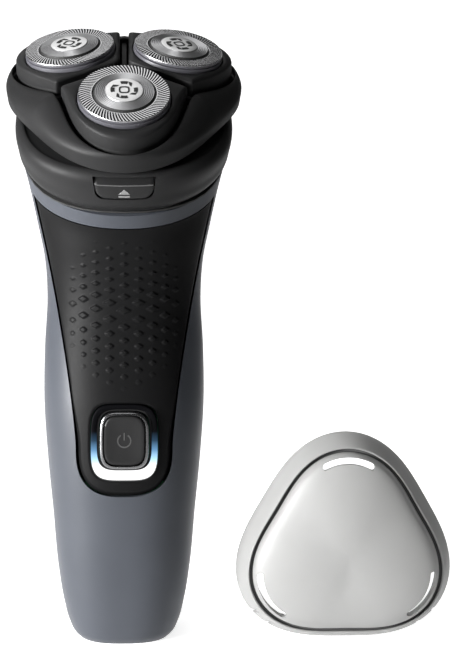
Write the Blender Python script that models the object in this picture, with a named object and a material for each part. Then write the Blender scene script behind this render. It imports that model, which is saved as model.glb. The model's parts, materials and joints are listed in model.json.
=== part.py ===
"""Rotary electric shaver with three tilting heads, beside its protective cap.

The shaver stands upright on the flat base of its handle: +Z up, front towards -Y, and the
origin at the centre of the base. Lengths in this file are millimetres, and MM turns them into
metres where a mesh or a place is made.

The head leans forward. Its pieces are modelled in the head frame, an empty with X to the side,
V towards the back and H along the head's own axis, with its origin level with the guards' rims.
"""

import math

import bmesh
import bpy
from mathutils import Vector

MM = 0.001

# Head frame.
HEAD_TILT = 28.0
HEAD_Y = -6.0
HEAD_Z = 156.3
LOBE_ANGLES = (-90.0, 30.0, 150.0)

# Shaving heads. GUARD_SPREAD is the guard centre's distance from the head's axis.
GUARD_SPREAD = 16.8
GUARD_SPLAY = 8.7
GUARD_RADIUS = 11.8
PIVOT_H = -7.0
PIVOT_SPREAD = GUARD_SPREAD + PIVOT_H * math.tan(math.radians(GUARD_SPLAY))
LOBE_GAP = 2.3
LOBE_CORNER = 20.0
LOBE_TOP = -2.0
HUB_HOLE = 2.7

# Seam between the lobes and the cowl: radius and height at a lobe's corner and at its end.
SEAM_CORNER_RADIUS = 20.4
SEAM_END_RADIUS = 32.3
SEAM_CORNER_H = -4.0
SEAM_END_H = -9.0
SEAM_GAP = 0.45

# Cowl, a rounded triangle in plan.
COWL_RADIUS = 30.9
COWL_ROUNDNESS = 0.08
COWL_WIDEST_H = -10.3
COWL_BOTTOM_H = -15.0

# Hinge at the back of the cowl.
HINGE_V = 27.0
HINGE_H = -15.2
KNUCKLE_RADIUS = 1.25
PIN_RADIUS = 0.6
PIN_CLEARANCE = 0.08

# Drive train.
PINION_TEETH = 11
GEAR_TEETH = 25
MODULE = 2.0 * PIVOT_SPREAD / (PINION_TEETH + GEAR_TEETH)
GEAR_BOTTOM_H = -20.3
GEAR_TOP_H = -17.8
MOTOR_RADIUS = 9.5

# Screw posts between the front gear and the rear ones.
POST_SPREAD = 21.5
POST_ANGLES = (210.0, 330.0)

# Handle: height and Y of each section's centre, its lean, half width, reach to the front and to
# the back, and the power of its rounded outline. The last section is the rim of the grey band.
STATIONS = (
    (0.0, 0.0, 0.0, 12.4, 12.6, 12.2, 2.5),
    (1.2, 0.0, 0.0, 13.6, 13.9, 13.4, 2.5),
    (4.0, 0.0, 0.0, 15.0, 15.1, 14.7, 2.5),
    (9.7, 0.0, 0.0, 16.5, 16.3, 15.8, 2.5),
    (20.0, 0.0, 0.0, 18.1, 17.3, 16.9, 2.5),
    (35.0, 0.2, 0.0, 19.4, 18.6, 18.0, 2.45),
    (50.0, 0.6, 0.0, 20.8, 19.8, 19.0, 2.4),
    (65.0, 1.3, 1.0, 21.7, 20.1, 19.5, 2.4),
    (80.0, 2.2, 4.0, 21.5, 19.0, 19.9, 2.35),
    (93.5, 3.0, 8.0, 20.8, 18.4, 20.3, 2.3),
    (104.0, 3.6, 15.0, 21.4, 19.5, 21.2, 2.3),
    (115.0, 5.0, 22.0, 23.5, 23.0, 22.2, 2.3),
    (126.2, 6.6, 28.0, 25.9, 28.0, 22.9, 2.35),
)
BAND_TOP_H = -28.2
BAND_BOTTOM_H = -32.6
BAND_CENTRE_V = 1.3
BAND_RIM = (27.4, 32.7, 21.4, 2.4)
HANDLE_WALL = 2.0
FLOOR_STATION = 2

# Black collar: height, half width, reach to the front and to the back, power of the outline.
COLLAR_SECTIONS = (
    (-27.2, 27.7, 31.5, 22.6, 2.4),
    (-22.5, 28.8, 32.2, 24.8, 2.5),
    (-18.5, 29.2, 32.2, 25.7, 2.6),
    (-15.3, 28.8, 31.6, 26.0, 2.6),
)
COLLAR_WALL = 1.4

# Front panel's outline, seen from the front: a rounded foot that widens upwards.
PANEL_FOOT_Z = 41.5
PANEL_SHOULDER_Z = 55.0
PANEL_HALF_WIDTH = 12.7
PANEL_FOOT_POWER = 2.8
PANEL_WIDENING = 0.0396
PANEL_WIDENING_POWER = 1.35

# Power button and the light ring round it.
BUTTON_Z = 57.4
BUTTON_SIZE = (12.9, 15.3)
BUTTON_FACE_Y = -20.1
FLANGE_Y = -18.4
RING_Z = 57.0
RING_SIZE = (17.9, 20.9)
RING_FACE_Y = -19.0
SQUIRCLE_POWER = 4.0
BOARD_FRONT_Y = -9.3

# Release button on the collar.
RELEASE_H = -19.65
RELEASE_SIZE = (15.7, 5.7)

# Battery, a round cell.
BATTERY_RADIUS = 7.1
BATTERY_Y = 3.5
BATTERY_BOTTOM_Z = 20.0
BATTERY_TOP_Z = 70.0

# Charging socket in the base.
SOCKET_Y = 6.0
SOCKET_SIZE = (11.0, 8.0)
SOCKET_POCKET = (8.6, 5.4)
SOCKET_DEPTH = 6.0
SOCKET_TOP_Z = 9.0

# Protective cap, standing on the edge of its rim beside the shaver, with its dome to the front.
CAP_RADIUS = 28.6
CAP_ROUNDNESS = 0.095
CAP_X = 60.0
CAP_RIM_Y = -6.0
CAP_SLOT_INSET = 6.4
CAP_SLOT_WIDTH = 1.7
CAP_SLOT_HALF_ANGLE = 13.0

GAP = 0.3


def clear_scene():
    for scene_object in list(bpy.data.objects):
        bpy.data.objects.remove(scene_object, do_unlink=True)


def make_material(name, color, roughness, metallic=0.0):
    material = bpy.data.materials.new(name)
    material.use_nodes = True
    shader = material.node_tree.nodes["Principled BSDF"]
    shader.inputs["Base Color"].default_value = (*color, 1.0)
    shader.inputs["Roughness"].default_value = roughness
    shader.inputs["Metallic"].default_value = metallic
    return material


def make_empty(name, location=(0, 0, 0), rotation=(0, 0, 0), parent=None):
    """An empty at a place in millimetres, turned by angles in degrees."""
    empty = bpy.data.objects.new(name, None)
    bpy.context.scene.collection.objects.link(empty)
    empty.location = Vector(location) * MM
    empty.rotation_euler = [math.radians(angle) for angle in rotation]
    empty.parent = parent
    return empty


def make_object(name, points, faces, material, parent=None, location=(0, 0, 0)):
    """An object whose faces point out, from points in millimetres."""
    mesh = bpy.data.meshes.new(name)
    mesh.from_pydata([Vector(point) * MM for point in points], [], faces)
    working = bmesh.new()
    working.from_mesh(mesh)
    bmesh.ops.recalc_face_normals(working, faces=working.faces)
    working.to_mesh(mesh)
    working.free()
    mesh.shade_smooth()
    mesh.set_sharp_from_angle(angle=math.radians(35.0))
    made = bpy.data.objects.new(name, mesh)
    bpy.context.scene.collection.objects.link(made)
    if material:
        mesh.materials.append(material)
    made.parent = parent
    made.location = Vector(location) * MM
    return made


def as_cutter(made):
    made.hide_render = True
    made.display_type = "WIRE"
    return made


def combine(target, operand, operation):
    """Adds a Boolean modifier. The operand becomes a guide that isn't rendered."""
    modifier = target.modifiers.new(f"{operation}_{operand.name}", "BOOLEAN")
    modifier.operation = operation
    modifier.solver = "EXACT"
    modifier.object = as_cutter(operand)


def joined_rings(name, rings, material, parent=None, location=(0, 0, 0), closed=False):
    """A skin over rings of equally many points: a torus if closed, else with two flat caps."""
    count = len(rings[0])
    points = [point for ring in rings for point in ring]
    pairs = len(rings) if closed else len(rings) - 1
    faces = []
    for row in range(pairs):
        low = row * count
        high = (row + 1) % len(rings) * count
        for i in range(count):
            j = (i + 1) % count
            faces.append((low + i, low + j, high + j, high + i))
    if not closed:
        faces.append(tuple(range(count)))
        faces.append(tuple(range(len(points) - count, len(points))))
    return make_object(name, points, faces, material, parent, location)


def turned(name, profile, material, parent=None, location=(0, 0, 0), segments=24):
    """A turned solid about local Z, from (radius, height) points.

    The profile is a loop that stays off the axis, or a line that starts and ends on it.
    """
    solid_centre = profile[0][0] == 0
    inner = profile[1:-1] if solid_centre else profile
    points = []
    for radius, height in inner:
        for i in range(segments):
            angle = 2 * math.pi * i / segments
            points.append((radius * math.cos(angle), radius * math.sin(angle), height))
    faces = []
    pairs = len(inner) - 1 if solid_centre else len(inner)
    for row in range(pairs):
        low = row * segments
        high = (row + 1) % len(inner) * segments
        for i in range(segments):
            j = (i + 1) % segments
            faces.append((low + i, low + j, high + j, high + i))
    if solid_centre:
        for pole, start in ((profile[0][1], 0), (profile[-1][1], (len(inner) - 1) * segments)):
            points.append((0, 0, pole))
            for i in range(segments):
                faces.append((len(points) - 1, start + i, start + (i + 1) % segments))
    return make_object(name, points, faces, material, parent, location)


def tube(inner, outer, bottom, top):
    """The profile of a plain ring, for turned()."""
    return [(inner, bottom), (outer, bottom), (outer, top), (inner, top)]


def rod(radius, bottom, top):
    """The profile of a plain round bar, for turned()."""
    return [(0, bottom), (radius, bottom), (radius, top), (0, top)]


def box(name, low, high, material=None, parent=None):
    corners = [(x, y, low[2]) for x, y in ((low[0], low[1]), (high[0], low[1]),
                                           (high[0], high[1]), (low[0], high[1]))]
    upper = [(x, y, high[2]) for x, y, _ in corners]
    return joined_rings(name, [corners, upper], material, parent)


def bar_along_x(name, radius, start, end, v, h, parent=None, segments=16):
    """A round guide or pin along X."""
    rings = []
    for x in (start, end):
        ring = []
        for i in range(segments):
            angle = 2 * math.pi * (i + 0.5) / segments
            ring.append((x, v + radius * math.cos(angle), h + radius * math.sin(angle)))
        rings.append(ring)
    return joined_rings(name, rings, None, parent)


def signed_power(value, power):
    return math.copysign(abs(value) ** power, value)


def superellipse(half_width, front, back, power, count):
    """Points (x, v) of a rounded outline that reaches front at -v and back at +v."""
    outline = []
    for i in range(count):
        angle = 2 * math.pi * i / count
        x = half_width * signed_power(math.cos(angle), 2 / power)
        reach = back if math.sin(angle) > 0 else front
        outline.append((x, reach * signed_power(math.sin(angle), 2 / power)))
    return outline


def squircle(size, count=24):
    """Points (x, z) of a rounded square, centred on the origin."""
    return superellipse(size[0] / 2, size[1] / 2, size[1] / 2, SQUIRCLE_POWER, count)


def squircle_rings(layers, centre_z):
    """Rings facing -Y, from (size, y) layers."""
    return [[(x, y, z + centre_z) for x, z in squircle(size)] for size, y in layers]


def lobe_phase(angle):
    """The angle from the nearest lobe's centre line, -60 to 60 degrees."""
    return (angle - LOBE_ANGLES[0] + 60.0) % 120.0 - 60.0


def towards_end(phase):
    """1 at a lobe's end, 0 midway between two lobes."""
    return (1 + math.cos(math.radians(3 * phase))) / 2


def seam_radius(phase):
    return SEAM_CORNER_RADIUS + (SEAM_END_RADIUS - SEAM_CORNER_RADIUS) * towards_end(phase) ** 1.1


def seam_height(phase):
    return SEAM_CORNER_H + (SEAM_END_H - SEAM_CORNER_H) * towards_end(phase) ** 0.6


def cowl_radius(phase):
    return COWL_RADIUS * (1 + COWL_ROUNDNESS * math.cos(math.radians(3 * phase)))


def around_axis(spread, angle, h=0.0):
    """The head frame's point at a distance from its axis, in a direction in degrees."""
    return (spread * math.cos(math.radians(angle)), spread * math.sin(math.radians(angle)), h)


def head_to_world(v, h):
    """The (y, z) of a point in the head frame's middle plane."""
    sine = math.sin(math.radians(HEAD_TILT))
    cosine = math.cos(math.radians(HEAD_TILT))
    return HEAD_Y + v * cosine - h * sine, HEAD_Z + v * sine + h * cosine


def band_rim_station():
    y, z = head_to_world(BAND_CENTRE_V, BAND_TOP_H)
    return (z, y, HEAD_TILT, *BAND_RIM)


def handle_ring(station, inset=0.0, count=28):
    z, y, lean, half_width, front, back, power = station
    outline = superellipse(half_width - inset, front - inset, back - inset, power, count)
    rise = math.sin(math.radians(lean))
    run = math.cos(math.radians(lean))
    return [(x, y + v * run, z + v * rise) for x, v in outline]


def handle_shell(name, material):
    """The whole handle as a cup: outside from base to rim, then inside back to the floor."""
    stations = STATIONS + (band_rim_station(),)
    outside = [handle_ring(station) for station in stations]
    inside = [handle_ring(station, HANDLE_WALL) for station in stations[FLOOR_STATION:]]
    return joined_rings(name, outside + inside[::-1], material)


def panel_half_width(z):
    """Half the front panel's width at a height."""
    if z < PANEL_SHOULDER_Z:
        depth = (PANEL_SHOULDER_Z - z) / (PANEL_SHOULDER_Z - PANEL_FOOT_Z)
        return PANEL_HALF_WIDTH * (1 - depth**PANEL_FOOT_POWER) ** (1 / PANEL_FOOT_POWER)
    return PANEL_HALF_WIDTH + PANEL_WIDENING * (z - PANEL_SHOULDER_Z) ** PANEL_WIDENING_POWER


def panel_prism(name, margin):
    """The space in front of the handle that the front panel's outline covers."""
    foot_turn = [math.radians(angle) for angle in (84, 72, 58, 44, 28, 12)]
    depth = PANEL_SHOULDER_Z - PANEL_FOOT_Z
    heights = [PANEL_SHOULDER_Z - depth * math.sin(turn) for turn in foot_turn]
    heights += [PANEL_SHOULDER_Z + 7.5 * i for i in range(12)]
    right = [(panel_half_width(z) + margin, z) for z in heights]
    left = [(-x, z) for x, z in reversed(right)]
    foot = [(0.0, PANEL_FOOT_Z - margin)]
    outline = foot + right + left
    rings = [[(x, y, z) for x, z in outline] for y in (-60.0, 3.0)]
    prism = joined_rings(name, rings, None)
    above = box(f"{name}_above", (-60, -80, BAND_BOTTOM_H + margin), (60, 60, 60))
    above.parent = HEAD
    combine(prism, above, "DIFFERENCE")
    return prism


def button_well(name, grow):
    size = (RING_SIZE[0] + 2 * grow, RING_SIZE[1] + 2 * grow)
    return joined_rings(name, squircle_rings([(size, -40.0), (size, -5.0)], RING_Z), None)


def collar_ring(section, inset=0.0, count=36, h=None):
    height, half_width, front, back, power = section
    outline = superellipse(half_width - inset, front - inset, back - inset, power, count)
    return [(x, v, height if h is None else h) for x, v in outline]


def make_handle(grey, black, rubber):
    housing = handle_shell("rear_housing", grey)
    combine(housing, panel_prism("window_guide", GAP), "DIFFERENCE")
    half_x, half_y = SOCKET_SIZE[0] / 2 + GAP, SOCKET_SIZE[1] / 2 + GAP
    inlet = box("inlet_guide", (-half_x, SOCKET_Y - half_y, -5), (half_x, SOCKET_Y + half_y, 6))
    combine(housing, inlet, "DIFFERENCE")
    panel = handle_shell("front_panel", black)
    combine(panel, panel_prism("panel_guide", 0.0), "INTERSECT")
    combine(panel, button_well("well_guide", GAP), "DIFFERENCE")
    seal = COLLAR_SECTIONS[0]
    rings = [collar_ring(seal, inset, h=h)
             for inset, h in ((1.1, -27.9), (1.1, -27.5), (2.6, -27.5), (2.6, -27.9))]
    joined_rings("neck_seal", rings, rubber, HEAD, closed=True)


def make_collar(black):
    outside = [collar_ring(section) for section in COLLAR_SECTIONS]
    inside = [collar_ring(section, COLLAR_WALL) for section in COLLAR_SECTIONS]
    collar = joined_rings("neck_collar", outside + inside[::-1], black, HEAD, closed=True)
    for side, start in (("left", -8.2), ("right", 5.2)):
        knuckle = bar_along_x(f"collar_knuckle_{side}", KNUCKLE_RADIUS, start, start + 3.0,
                              HINGE_V, HINGE_H, HEAD)
        combine(collar, knuckle, "UNION")
    hinge_room = bar_along_x("collar_hinge_room", KNUCKLE_RADIUS + 0.35, -5.0, 5.0,
                             HINGE_V, HINGE_H, HEAD)
    combine(collar, hinge_room, "DIFFERENCE")
    pin_hole = bar_along_x("collar_pin_hole", PIN_RADIUS + PIN_CLEARANCE, -12, 12,
                           HINGE_V, HINGE_H, HEAD)
    combine(collar, pin_hole, "DIFFERENCE")
    half_x = RELEASE_SIZE[0] / 2 + GAP
    half_h = RELEASE_SIZE[1] / 2 + GAP
    window = box("release_window", (-half_x, -40, RELEASE_H - half_h),
                 (half_x, -24, RELEASE_H + half_h), None, HEAD)
    combine(collar, window, "DIFFERENCE")


def make_release_button(black, steel):
    """The release button, with the arm that reaches up behind the cowl, and its leaf spring."""
    low = RELEASE_H - RELEASE_SIZE[1] / 2
    high = RELEASE_H + RELEASE_SIZE[1] / 2
    half = RELEASE_SIZE[0] / 2
    button = box("release_button", (-half, -32.7, low), (half, -30.0, high), black, HEAD)
    combine(button, box("latch_foot", (-3, -30.5, -17.5), (3, -27.7, -16.9), None, HEAD), "UNION")
    combine(button, box("latch_arm", (-3, -28.7, -17.5), (3, -27.5, -12.8), None, HEAD), "UNION")
    box("release_leaf_spring", (-6.5, -28.6, -21.6), (6.5, -28.2, -18.6), steel, HEAD)


def make_hinge_pin(steel):
    pin = bar_along_x("hinge_pin", PIN_RADIUS, -8.1, 8.1, HINGE_V, HINGE_H, HEAD)
    pin.data.materials.append(steel)


def make_cowl(black):
    """The cowl, with the Y-shaped bars that run between the lobes and its hinge knuckle."""
    profiles = []
    for step in range(48):
        angle = -90.0 + 7.5 * step
        phase = lobe_phase(angle)
        rim = seam_radius(phase) + SEAM_GAP
        top = seam_height(phase)
        widest = cowl_radius(phase)
        profile = [(rim, top - 0.4)]
        for turn in (0.0, 35.0, 65.0, 90.0):
            across = math.sin(math.radians(turn))
            down = math.cos(math.radians(turn))
            radius = rim + 0.3 + (widest - rim - 0.3) * across
            profile.append((radius, COWL_WIDEST_H + (top - COWL_WIDEST_H) * down))
        profile += [(widest - 0.6, -13.3), (widest - 2.0, COWL_BOTTOM_H)]
        hollow = widest - 1.5
        ceiling = top - 1.8
        profile += [(widest - 3.8, COWL_BOTTOM_H), (hollow, -11.2)]
        profile.append((rim + 0.7 * (hollow - rim), -11.2 + 0.7 * (ceiling + 11.2)))
        profile.append((rim, ceiling))
        profiles.append((math.radians(angle), profile))
    rings = []
    for row in range(len(profiles[0][1])):
        ring = [(profile[row][0] * math.cos(angle), profile[row][0] * math.sin(angle),
                 profile[row][1]) for angle, profile in profiles]
        rings.append(ring)
    cowl = joined_rings("head_cowl", rings, black, HEAD, closed=True)
    combine(cowl, make_spider(), "UNION")
    knuckle = bar_along_x("cowl_knuckle", KNUCKLE_RADIUS, -4.8, 4.8, HINGE_V, HINGE_H, HEAD)
    combine(cowl, knuckle, "UNION")
    for side, start in (("left", -8.5), ("right", 4.95)):
        room = bar_along_x(f"cowl_hinge_room_{side}", KNUCKLE_RADIUS + 0.35, start, start + 3.55,
                           HINGE_V, HINGE_H, HEAD)
        combine(cowl, room, "DIFFERENCE")
    pin_hole = bar_along_x("cowl_pin_hole", PIN_RADIUS + PIN_CLEARANCE, -12, 12,
                           HINGE_V, HINGE_H, HEAD)
    combine(cowl, pin_hole, "DIFFERENCE")


def make_spider():
    """Three thin bars that meet on the head's axis, between the lobes."""
    half = 0.6
    reach = 22.4
    outline = []
    for arm in (90.0, 210.0, 330.0):
        end_x, end_v, _ = around_axis(reach, arm)
        side_x, side_v, _ = around_axis(half, arm + 90.0)
        outline += [(end_x - side_x, end_v - side_v), (end_x + side_x, end_v + side_v)]
        outline.append(around_axis(2 * half / math.sqrt(3), arm + 60.0)[:2])
    rings = [[(x, v, h) for x, v in outline] for h in (-7.2, -3.2)]
    return joined_rings("spider", rings, None, HEAD)


def lobe_outline():
    """Points (x, outward, is_on_seam) round a lobe, its centre line along the outward axis."""
    sine = math.sin(math.radians(60.0))
    inset = LOBE_GAP / 2
    start = inset * 0.5 / sine
    right = []
    for i in range(6):
        along = start + (LOBE_CORNER - start) * i / 5
        right.append((along * sine - inset * 0.5, along * 0.5 + inset * sine, False))
    corner = math.degrees(math.atan2(right[-1][0], right[-1][1]))
    for i in range(1, 9):
        phase = corner * (1 - i / 8)
        radius = seam_radius(phase) - SEAM_GAP + 0.1
        right.append((radius * math.sin(math.radians(phase)),
                      radius * math.cos(math.radians(phase)), True))
    left = [(-x, out, on_seam) for x, out, on_seam in right[-2:0:-1]]
    return right + left


def make_lobe(number, pivot, black):
    """A lobe that carries one guard: sloping top, rounded edge and a skirt down to the seam."""
    slope = math.tan(math.radians(GUARD_SPLAY))
    cosine = math.cos(math.radians(GUARD_SPLAY))
    sine = math.sin(math.radians(GUARD_SPLAY))
    hole = GUARD_RADIUS + 0.45
    rows = [[] for _ in range(8)]
    for x, out, on_seam in lobe_outline():
        reach = math.hypot(x, out - GUARD_SPREAD)
        unit = (x / reach, (out - GUARD_SPREAD) / reach)
        edge = min(2.4 if on_seam else 1.2, (reach - hole) * 0.7)
        phase = math.degrees(math.atan2(x, out))
        skirt = min(-7.0, seam_height(phase) - 0.7) if on_seam else -7.0

        def at(distance, height):
            return (unit[0] * distance, GUARD_SPREAD + unit[1] * distance, height)

        def bore(depth):
            out_there = GUARD_SPREAD + unit[1] * hole * cosine + depth * sine
            return (unit[0] * hole, out_there, depth * cosine - unit[1] * hole * sine)

        def top(distance):
            return LOBE_TOP - unit[1] * distance * slope

        inside = max(reach - 1.1, hole + 0.35)
        rows[0].append(bore(LOBE_TOP))
        rows[1].append(at(reach - edge, top(reach - edge)))
        rows[2].append(at(reach - edge * 0.3, top(reach) - edge * 0.25))
        rows[3].append(at(reach, top(reach) - edge * 0.8))
        rows[4].append(at(reach, skirt))
        rows[5].append(at(inside, skirt))
        rows[6].append(at(inside, top(reach) - 3.6))
        rows[7].append(bore(LOBE_TOP - 4.4))
    shift = (0.0, PIVOT_SPREAD, -PIVOT_H)
    rings = [[(x, -out + shift[1], h + shift[2]) for x, out, h in row] for row in rows]
    joined_rings(f"head_carrier_{number}", rings, black, pivot, closed=True)


def guard_profile():
    """A slotted guard's section: skirt, slotted ring, groove and the raised middle."""
    return [
        (0, 0.93), (4.8, 0.93), (7.9, 0.1), (8.2, -0.3), (8.5, 0.0), (GUARD_RADIUS - 0.3, 0.0),
        (GUARD_RADIUS, -0.3), (GUARD_RADIUS, -0.9), (GUARD_RADIUS - 0.7, -0.9), (7.6, -0.8),
        (0, -0.5),
    ]


def cutter_rings():
    """Nine blades on a disc, with the hub that the spindle drives."""
    blades = 9
    per_blade = 3
    count = blades * per_blade
    layers = ((HUB_HOLE, HUB_HOLE, -5.4), (4.0, 4.0, -5.4), (4.0, 4.0, -3.6), (10.6, 8.4, -3.6),
              (10.6, 8.4, -1.15), (7.6, 7.2, -1.15), (HUB_HOLE, HUB_HOLE, -2.6))
    rings = []
    for blade_radius, gap_radius, height in layers:
        ring = []
        for i in range(count):
            radius = gap_radius if i % per_blade == 0 else blade_radius
            angle = 2 * math.pi * i / count
            ring.append((radius * math.cos(angle), radius * math.sin(angle), height))
        rings.append(ring)
    return rings


def make_shaving_heads(black, steel, ring_plastic, nylon):
    for number, angle in enumerate(LOBE_ANGLES, start=1):
        turn = angle - LOBE_ANGLES[0]
        place = around_axis(PIVOT_SPREAD, angle, PIVOT_H)
        pivot = make_empty(f"tilt_axis_{number}", place, (0, 0, turn), HEAD)
        make_lobe(number, pivot, black)
        raised = (0.0, PIVOT_SPREAD - GUARD_SPREAD, -PIVOT_H)
        axis = make_empty(f"guard_axis_{number}", raised, (GUARD_SPLAY, 0, 0), pivot)
        turned(f"guard_{number}", guard_profile(), steel, axis, segments=24)
        ring = tube(10.9, 12.0, -4.6, -1.2)
        turned(f"guard_ring_{number}", ring, ring_plastic, axis, segments=24)
        turned(f"retaining_ring_{number}", tube(8.8, 11.9, -6.0, -4.9), nylon, axis)
        joined_rings(f"cutter_{number}", cutter_rings(), steel, axis, closed=True)


def gear_outline(teeth, first_tooth):
    """Points of a gear with tapered teeth, the first tooth's middle at the angle given."""
    pitch_radius = MODULE * teeth / 2
    pitch = 360.0 / teeth
    tip = pitch_radius + 0.72 * MODULE
    root = pitch_radius - 0.95 * MODULE
    outline = []
    for tooth in range(teeth):
        middle = first_tooth + tooth * pitch
        for radius, offset in ((root, -0.31), (tip, -0.13), (tip, 0.13), (root, 0.31)):
            angle = math.radians(middle + offset * pitch)
            outline.append((radius * math.cos(angle), radius * math.sin(angle)))
    return outline


def geared_disc(name, teeth, first_tooth, bore, material, parent):
    """A gear with a round bore."""
    outline = gear_outline(teeth, first_tooth)
    rings = [[(x, y, z) for x, y in outline] for z in (GEAR_BOTTOM_H, GEAR_TOP_H)]
    gear = joined_rings(name, rings, material, parent)
    hole = turned(f"{name}_bore", rod(bore, -30, -10), None, parent, segments=16)
    combine(gear, hole, "DIFFERENCE")


def meshing_tooth(angle):
    """Where a spindle gear at this angle round the pinion has a tooth, so that the two mesh."""
    pinion_pitch = 360.0 / PINION_TEETH
    first = LOBE_ANGLES[0]
    offset = (first - angle + pinion_pitch / 2) % pinion_pitch - pinion_pitch / 2
    gap = angle + 180.0 - offset * PINION_TEETH / GEAR_TEETH
    return gap + 180.0 / GEAR_TEETH


def coil_spring(name, radius, wire, bottom, top, turns, material, parent, location=(0, 0, 0)):
    """A compression spring about local Z."""
    steps_per_turn = 8
    steps = turns * steps_per_turn
    sides = 4
    rings = []
    for step in range(steps + 1):
        angle = 2 * math.pi * step / steps_per_turn
        height = bottom + (top - bottom) * step / steps
        ring = []
        for side in range(sides):
            around = 2 * math.pi * side / sides
            reach = radius + wire * math.cos(around)
            ring.append((reach * math.cos(angle), reach * math.sin(angle),
                         height + wire * math.sin(around)))
        rings.append(ring)
    return joined_rings(name, rings, material, parent, location)


def make_drive(steel, brass, nylon, rubber):
    """Motor, pinion, and the three spindle gears with their spindles, springs and seals."""
    can = [(1.5, -39.5), (9.2, -39.5), (MOTOR_RADIUS, -39.1), (MOTOR_RADIUS, -24.6),
           (9.1, -24.1), (3.0, -24.1), (3.0, -23.0), (1.5, -23.0)]
    turned("motor_can", can, steel, HEAD, segments=20)
    turned("motor_end_cap", tube(1.5, 9.2, -41.3, -39.8), nylon, HEAD, segments=20)
    turned("motor_shaft", rod(1.0, -42.3, -17.6), steel, HEAD, segments=16)
    geared_disc("drive_pinion", PINION_TEETH, LOBE_ANGLES[0], 1.3, brass, HEAD)
    for number, angle in enumerate(LOBE_ANGLES, start=1):
        axis = make_empty(f"spindle_axis_{number}", around_axis(PIVOT_SPREAD, angle), parent=HEAD)
        geared_disc(f"spindle_gear_{number}", GEAR_TEETH, meshing_tooth(angle), 1.8, nylon, axis)
        spindle = [(0, GEAR_BOTTOM_H), (1.5, GEAR_BOTTOM_H), (1.5, -9.0), (2.5, -8.9),
                   (2.5, -8.3), (1.3, -8.1), (1.3, -5.0), (0.8, -4.2), (0, -4.2)]
        turned(f"drive_spindle_{number}", spindle, nylon, axis, segments=12)
        coil_spring(f"spindle_spring_{number}", 2.2, 0.25, -14.1, -9.4, 4, steel, axis)
        seal = [(1.8, -16.8), (2.9, -16.8), (2.9, -15.3), (4.0, -15.3), (4.0, -14.7), (1.8, -14.7)]
        turned(f"spindle_seal_{number}", seal, rubber, axis, segments=12)


def make_chamber(black, nylon, steel):
    """The hair chamber's floor, the gearbox plate below it and the screws that join them."""
    floor_ring = COLLAR_SECTIONS[3]
    rings = [collar_ring(floor_ring, COLLAR_WALL + GAP, h=h) for h in (-16.8, -15.6)]
    chamber = joined_rings("hair_chamber", rings, black, HEAD)
    combine(chamber, box("latch_notch", (-3.5, -40, -20), (3.5, -26.2, -10), None, HEAD),
            "DIFFERENCE")
    plate_section = COLLAR_SECTIONS[1]
    rings = [collar_ring(plate_section, COLLAR_WALL + GAP + 0.2, h=h) for h in (-22.5, -21.1)]
    plate = joined_rings("gearbox_plate", rings, nylon, HEAD)
    combine(plate, box("plate_notch", (-8.6, -40, -30), (8.6, -27.9, -10), None, HEAD), "DIFFERENCE")
    combine(plate, turned("shaft_hole", rod(3.4, -30, -10), None, HEAD), "DIFFERENCE")
    for number, angle in enumerate(LOBE_ANGLES, start=1):
        place = around_axis(PIVOT_SPREAD, angle)
        hole = turned(f"spindle_hole_{number}", rod(3.2, -20, -10), None, HEAD, place, 20)
        combine(chamber, hole, "DIFFERENCE")
    for number, angle in enumerate(POST_ANGLES, start=1):
        place = around_axis(POST_SPREAD, angle)
        post = turned(f"post_{number}", rod(2.4, -21.8, -17.1), None, HEAD, place, 16)
        combine(plate, post, "UNION")
        bore = turned(f"post_bore_{number}", rod(1.3, -30, -10), None, HEAD, place, 16)
        combine(plate, bore, "DIFFERENCE")
        combine(chamber, bore, "DIFFERENCE")
        screw = [(0, -22.0), (1.0, -22.0), (1.0, -15.3), (2.1, -15.3), (2.1, -14.5), (0, -14.2)]
        turned(f"chamber_screw_{number}", screw, steel, HEAD, place, 12)


def make_power_button(black, chrome, clear, green, dark, led):
    """The button with its bezel, the light guide round it, and the switch and board behind."""
    inner_size = (BUTTON_SIZE[0] - 2.0, BUTTON_SIZE[1] - 2.0)
    layers = [((0.92 * inner_size[0], 0.92 * inner_size[1]), BUTTON_FACE_Y + 0.15),
              (inner_size, BUTTON_FACE_Y + 0.5), (inner_size, FLANGE_Y),
              (BUTTON_SIZE, FLANGE_Y), (BUTTON_SIZE, -16.8)]
    button = joined_rings("power_button", squircle_rings(layers, BUTTON_Z), black)
    stem = turned("button_stem", rod(2.0, -17.5, -13.7), None)
    stem.rotation_euler = (math.radians(-90), 0, 0)
    stem.location = Vector((0, 0, BUTTON_Z)) * MM
    combine(button, stem, "UNION")
    bezel_inner = (inner_size[0] + 2 * GAP, inner_size[1] + 2 * GAP)
    bezel_back = FLANGE_Y - GAP
    layers = [(BUTTON_SIZE, bezel_back), (BUTTON_SIZE, BUTTON_FACE_Y + 0.3),
              ((BUTTON_SIZE[0] - 0.5, BUTTON_SIZE[1] - 0.5), BUTTON_FACE_Y),
              (bezel_inner, BUTTON_FACE_Y), (bezel_inner, bezel_back)]
    joined_rings("button_bezel", squircle_rings(layers, BUTTON_Z), chrome, closed=True)
    hole = (BUTTON_SIZE[0] + 0.7, BUTTON_SIZE[1] + 0.7)
    outer = squircle_rings([(RING_SIZE, -16.4), (RING_SIZE, RING_FACE_Y)], RING_Z)
    inner = squircle_rings([(hole, RING_FACE_Y), (hole, -16.4)], BUTTON_Z)
    joined_rings("light_guide", outer + inner, clear, closed=True)
    box("circuit_board", (-10.5, BOARD_FRONT_Y, 30.0), (10.5, BOARD_FRONT_Y + 1.4, 74.0), green)
    on_board = BOARD_FRONT_Y - GAP
    box("tact_switch", (-3.0, -12.0, BUTTON_Z - 3.0), (3.0, on_board, BUTTON_Z + 3.0), dark)
    box("status_led", (-1.6, -11.2, 46.4), (1.6, on_board, 49.0), led)


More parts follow.
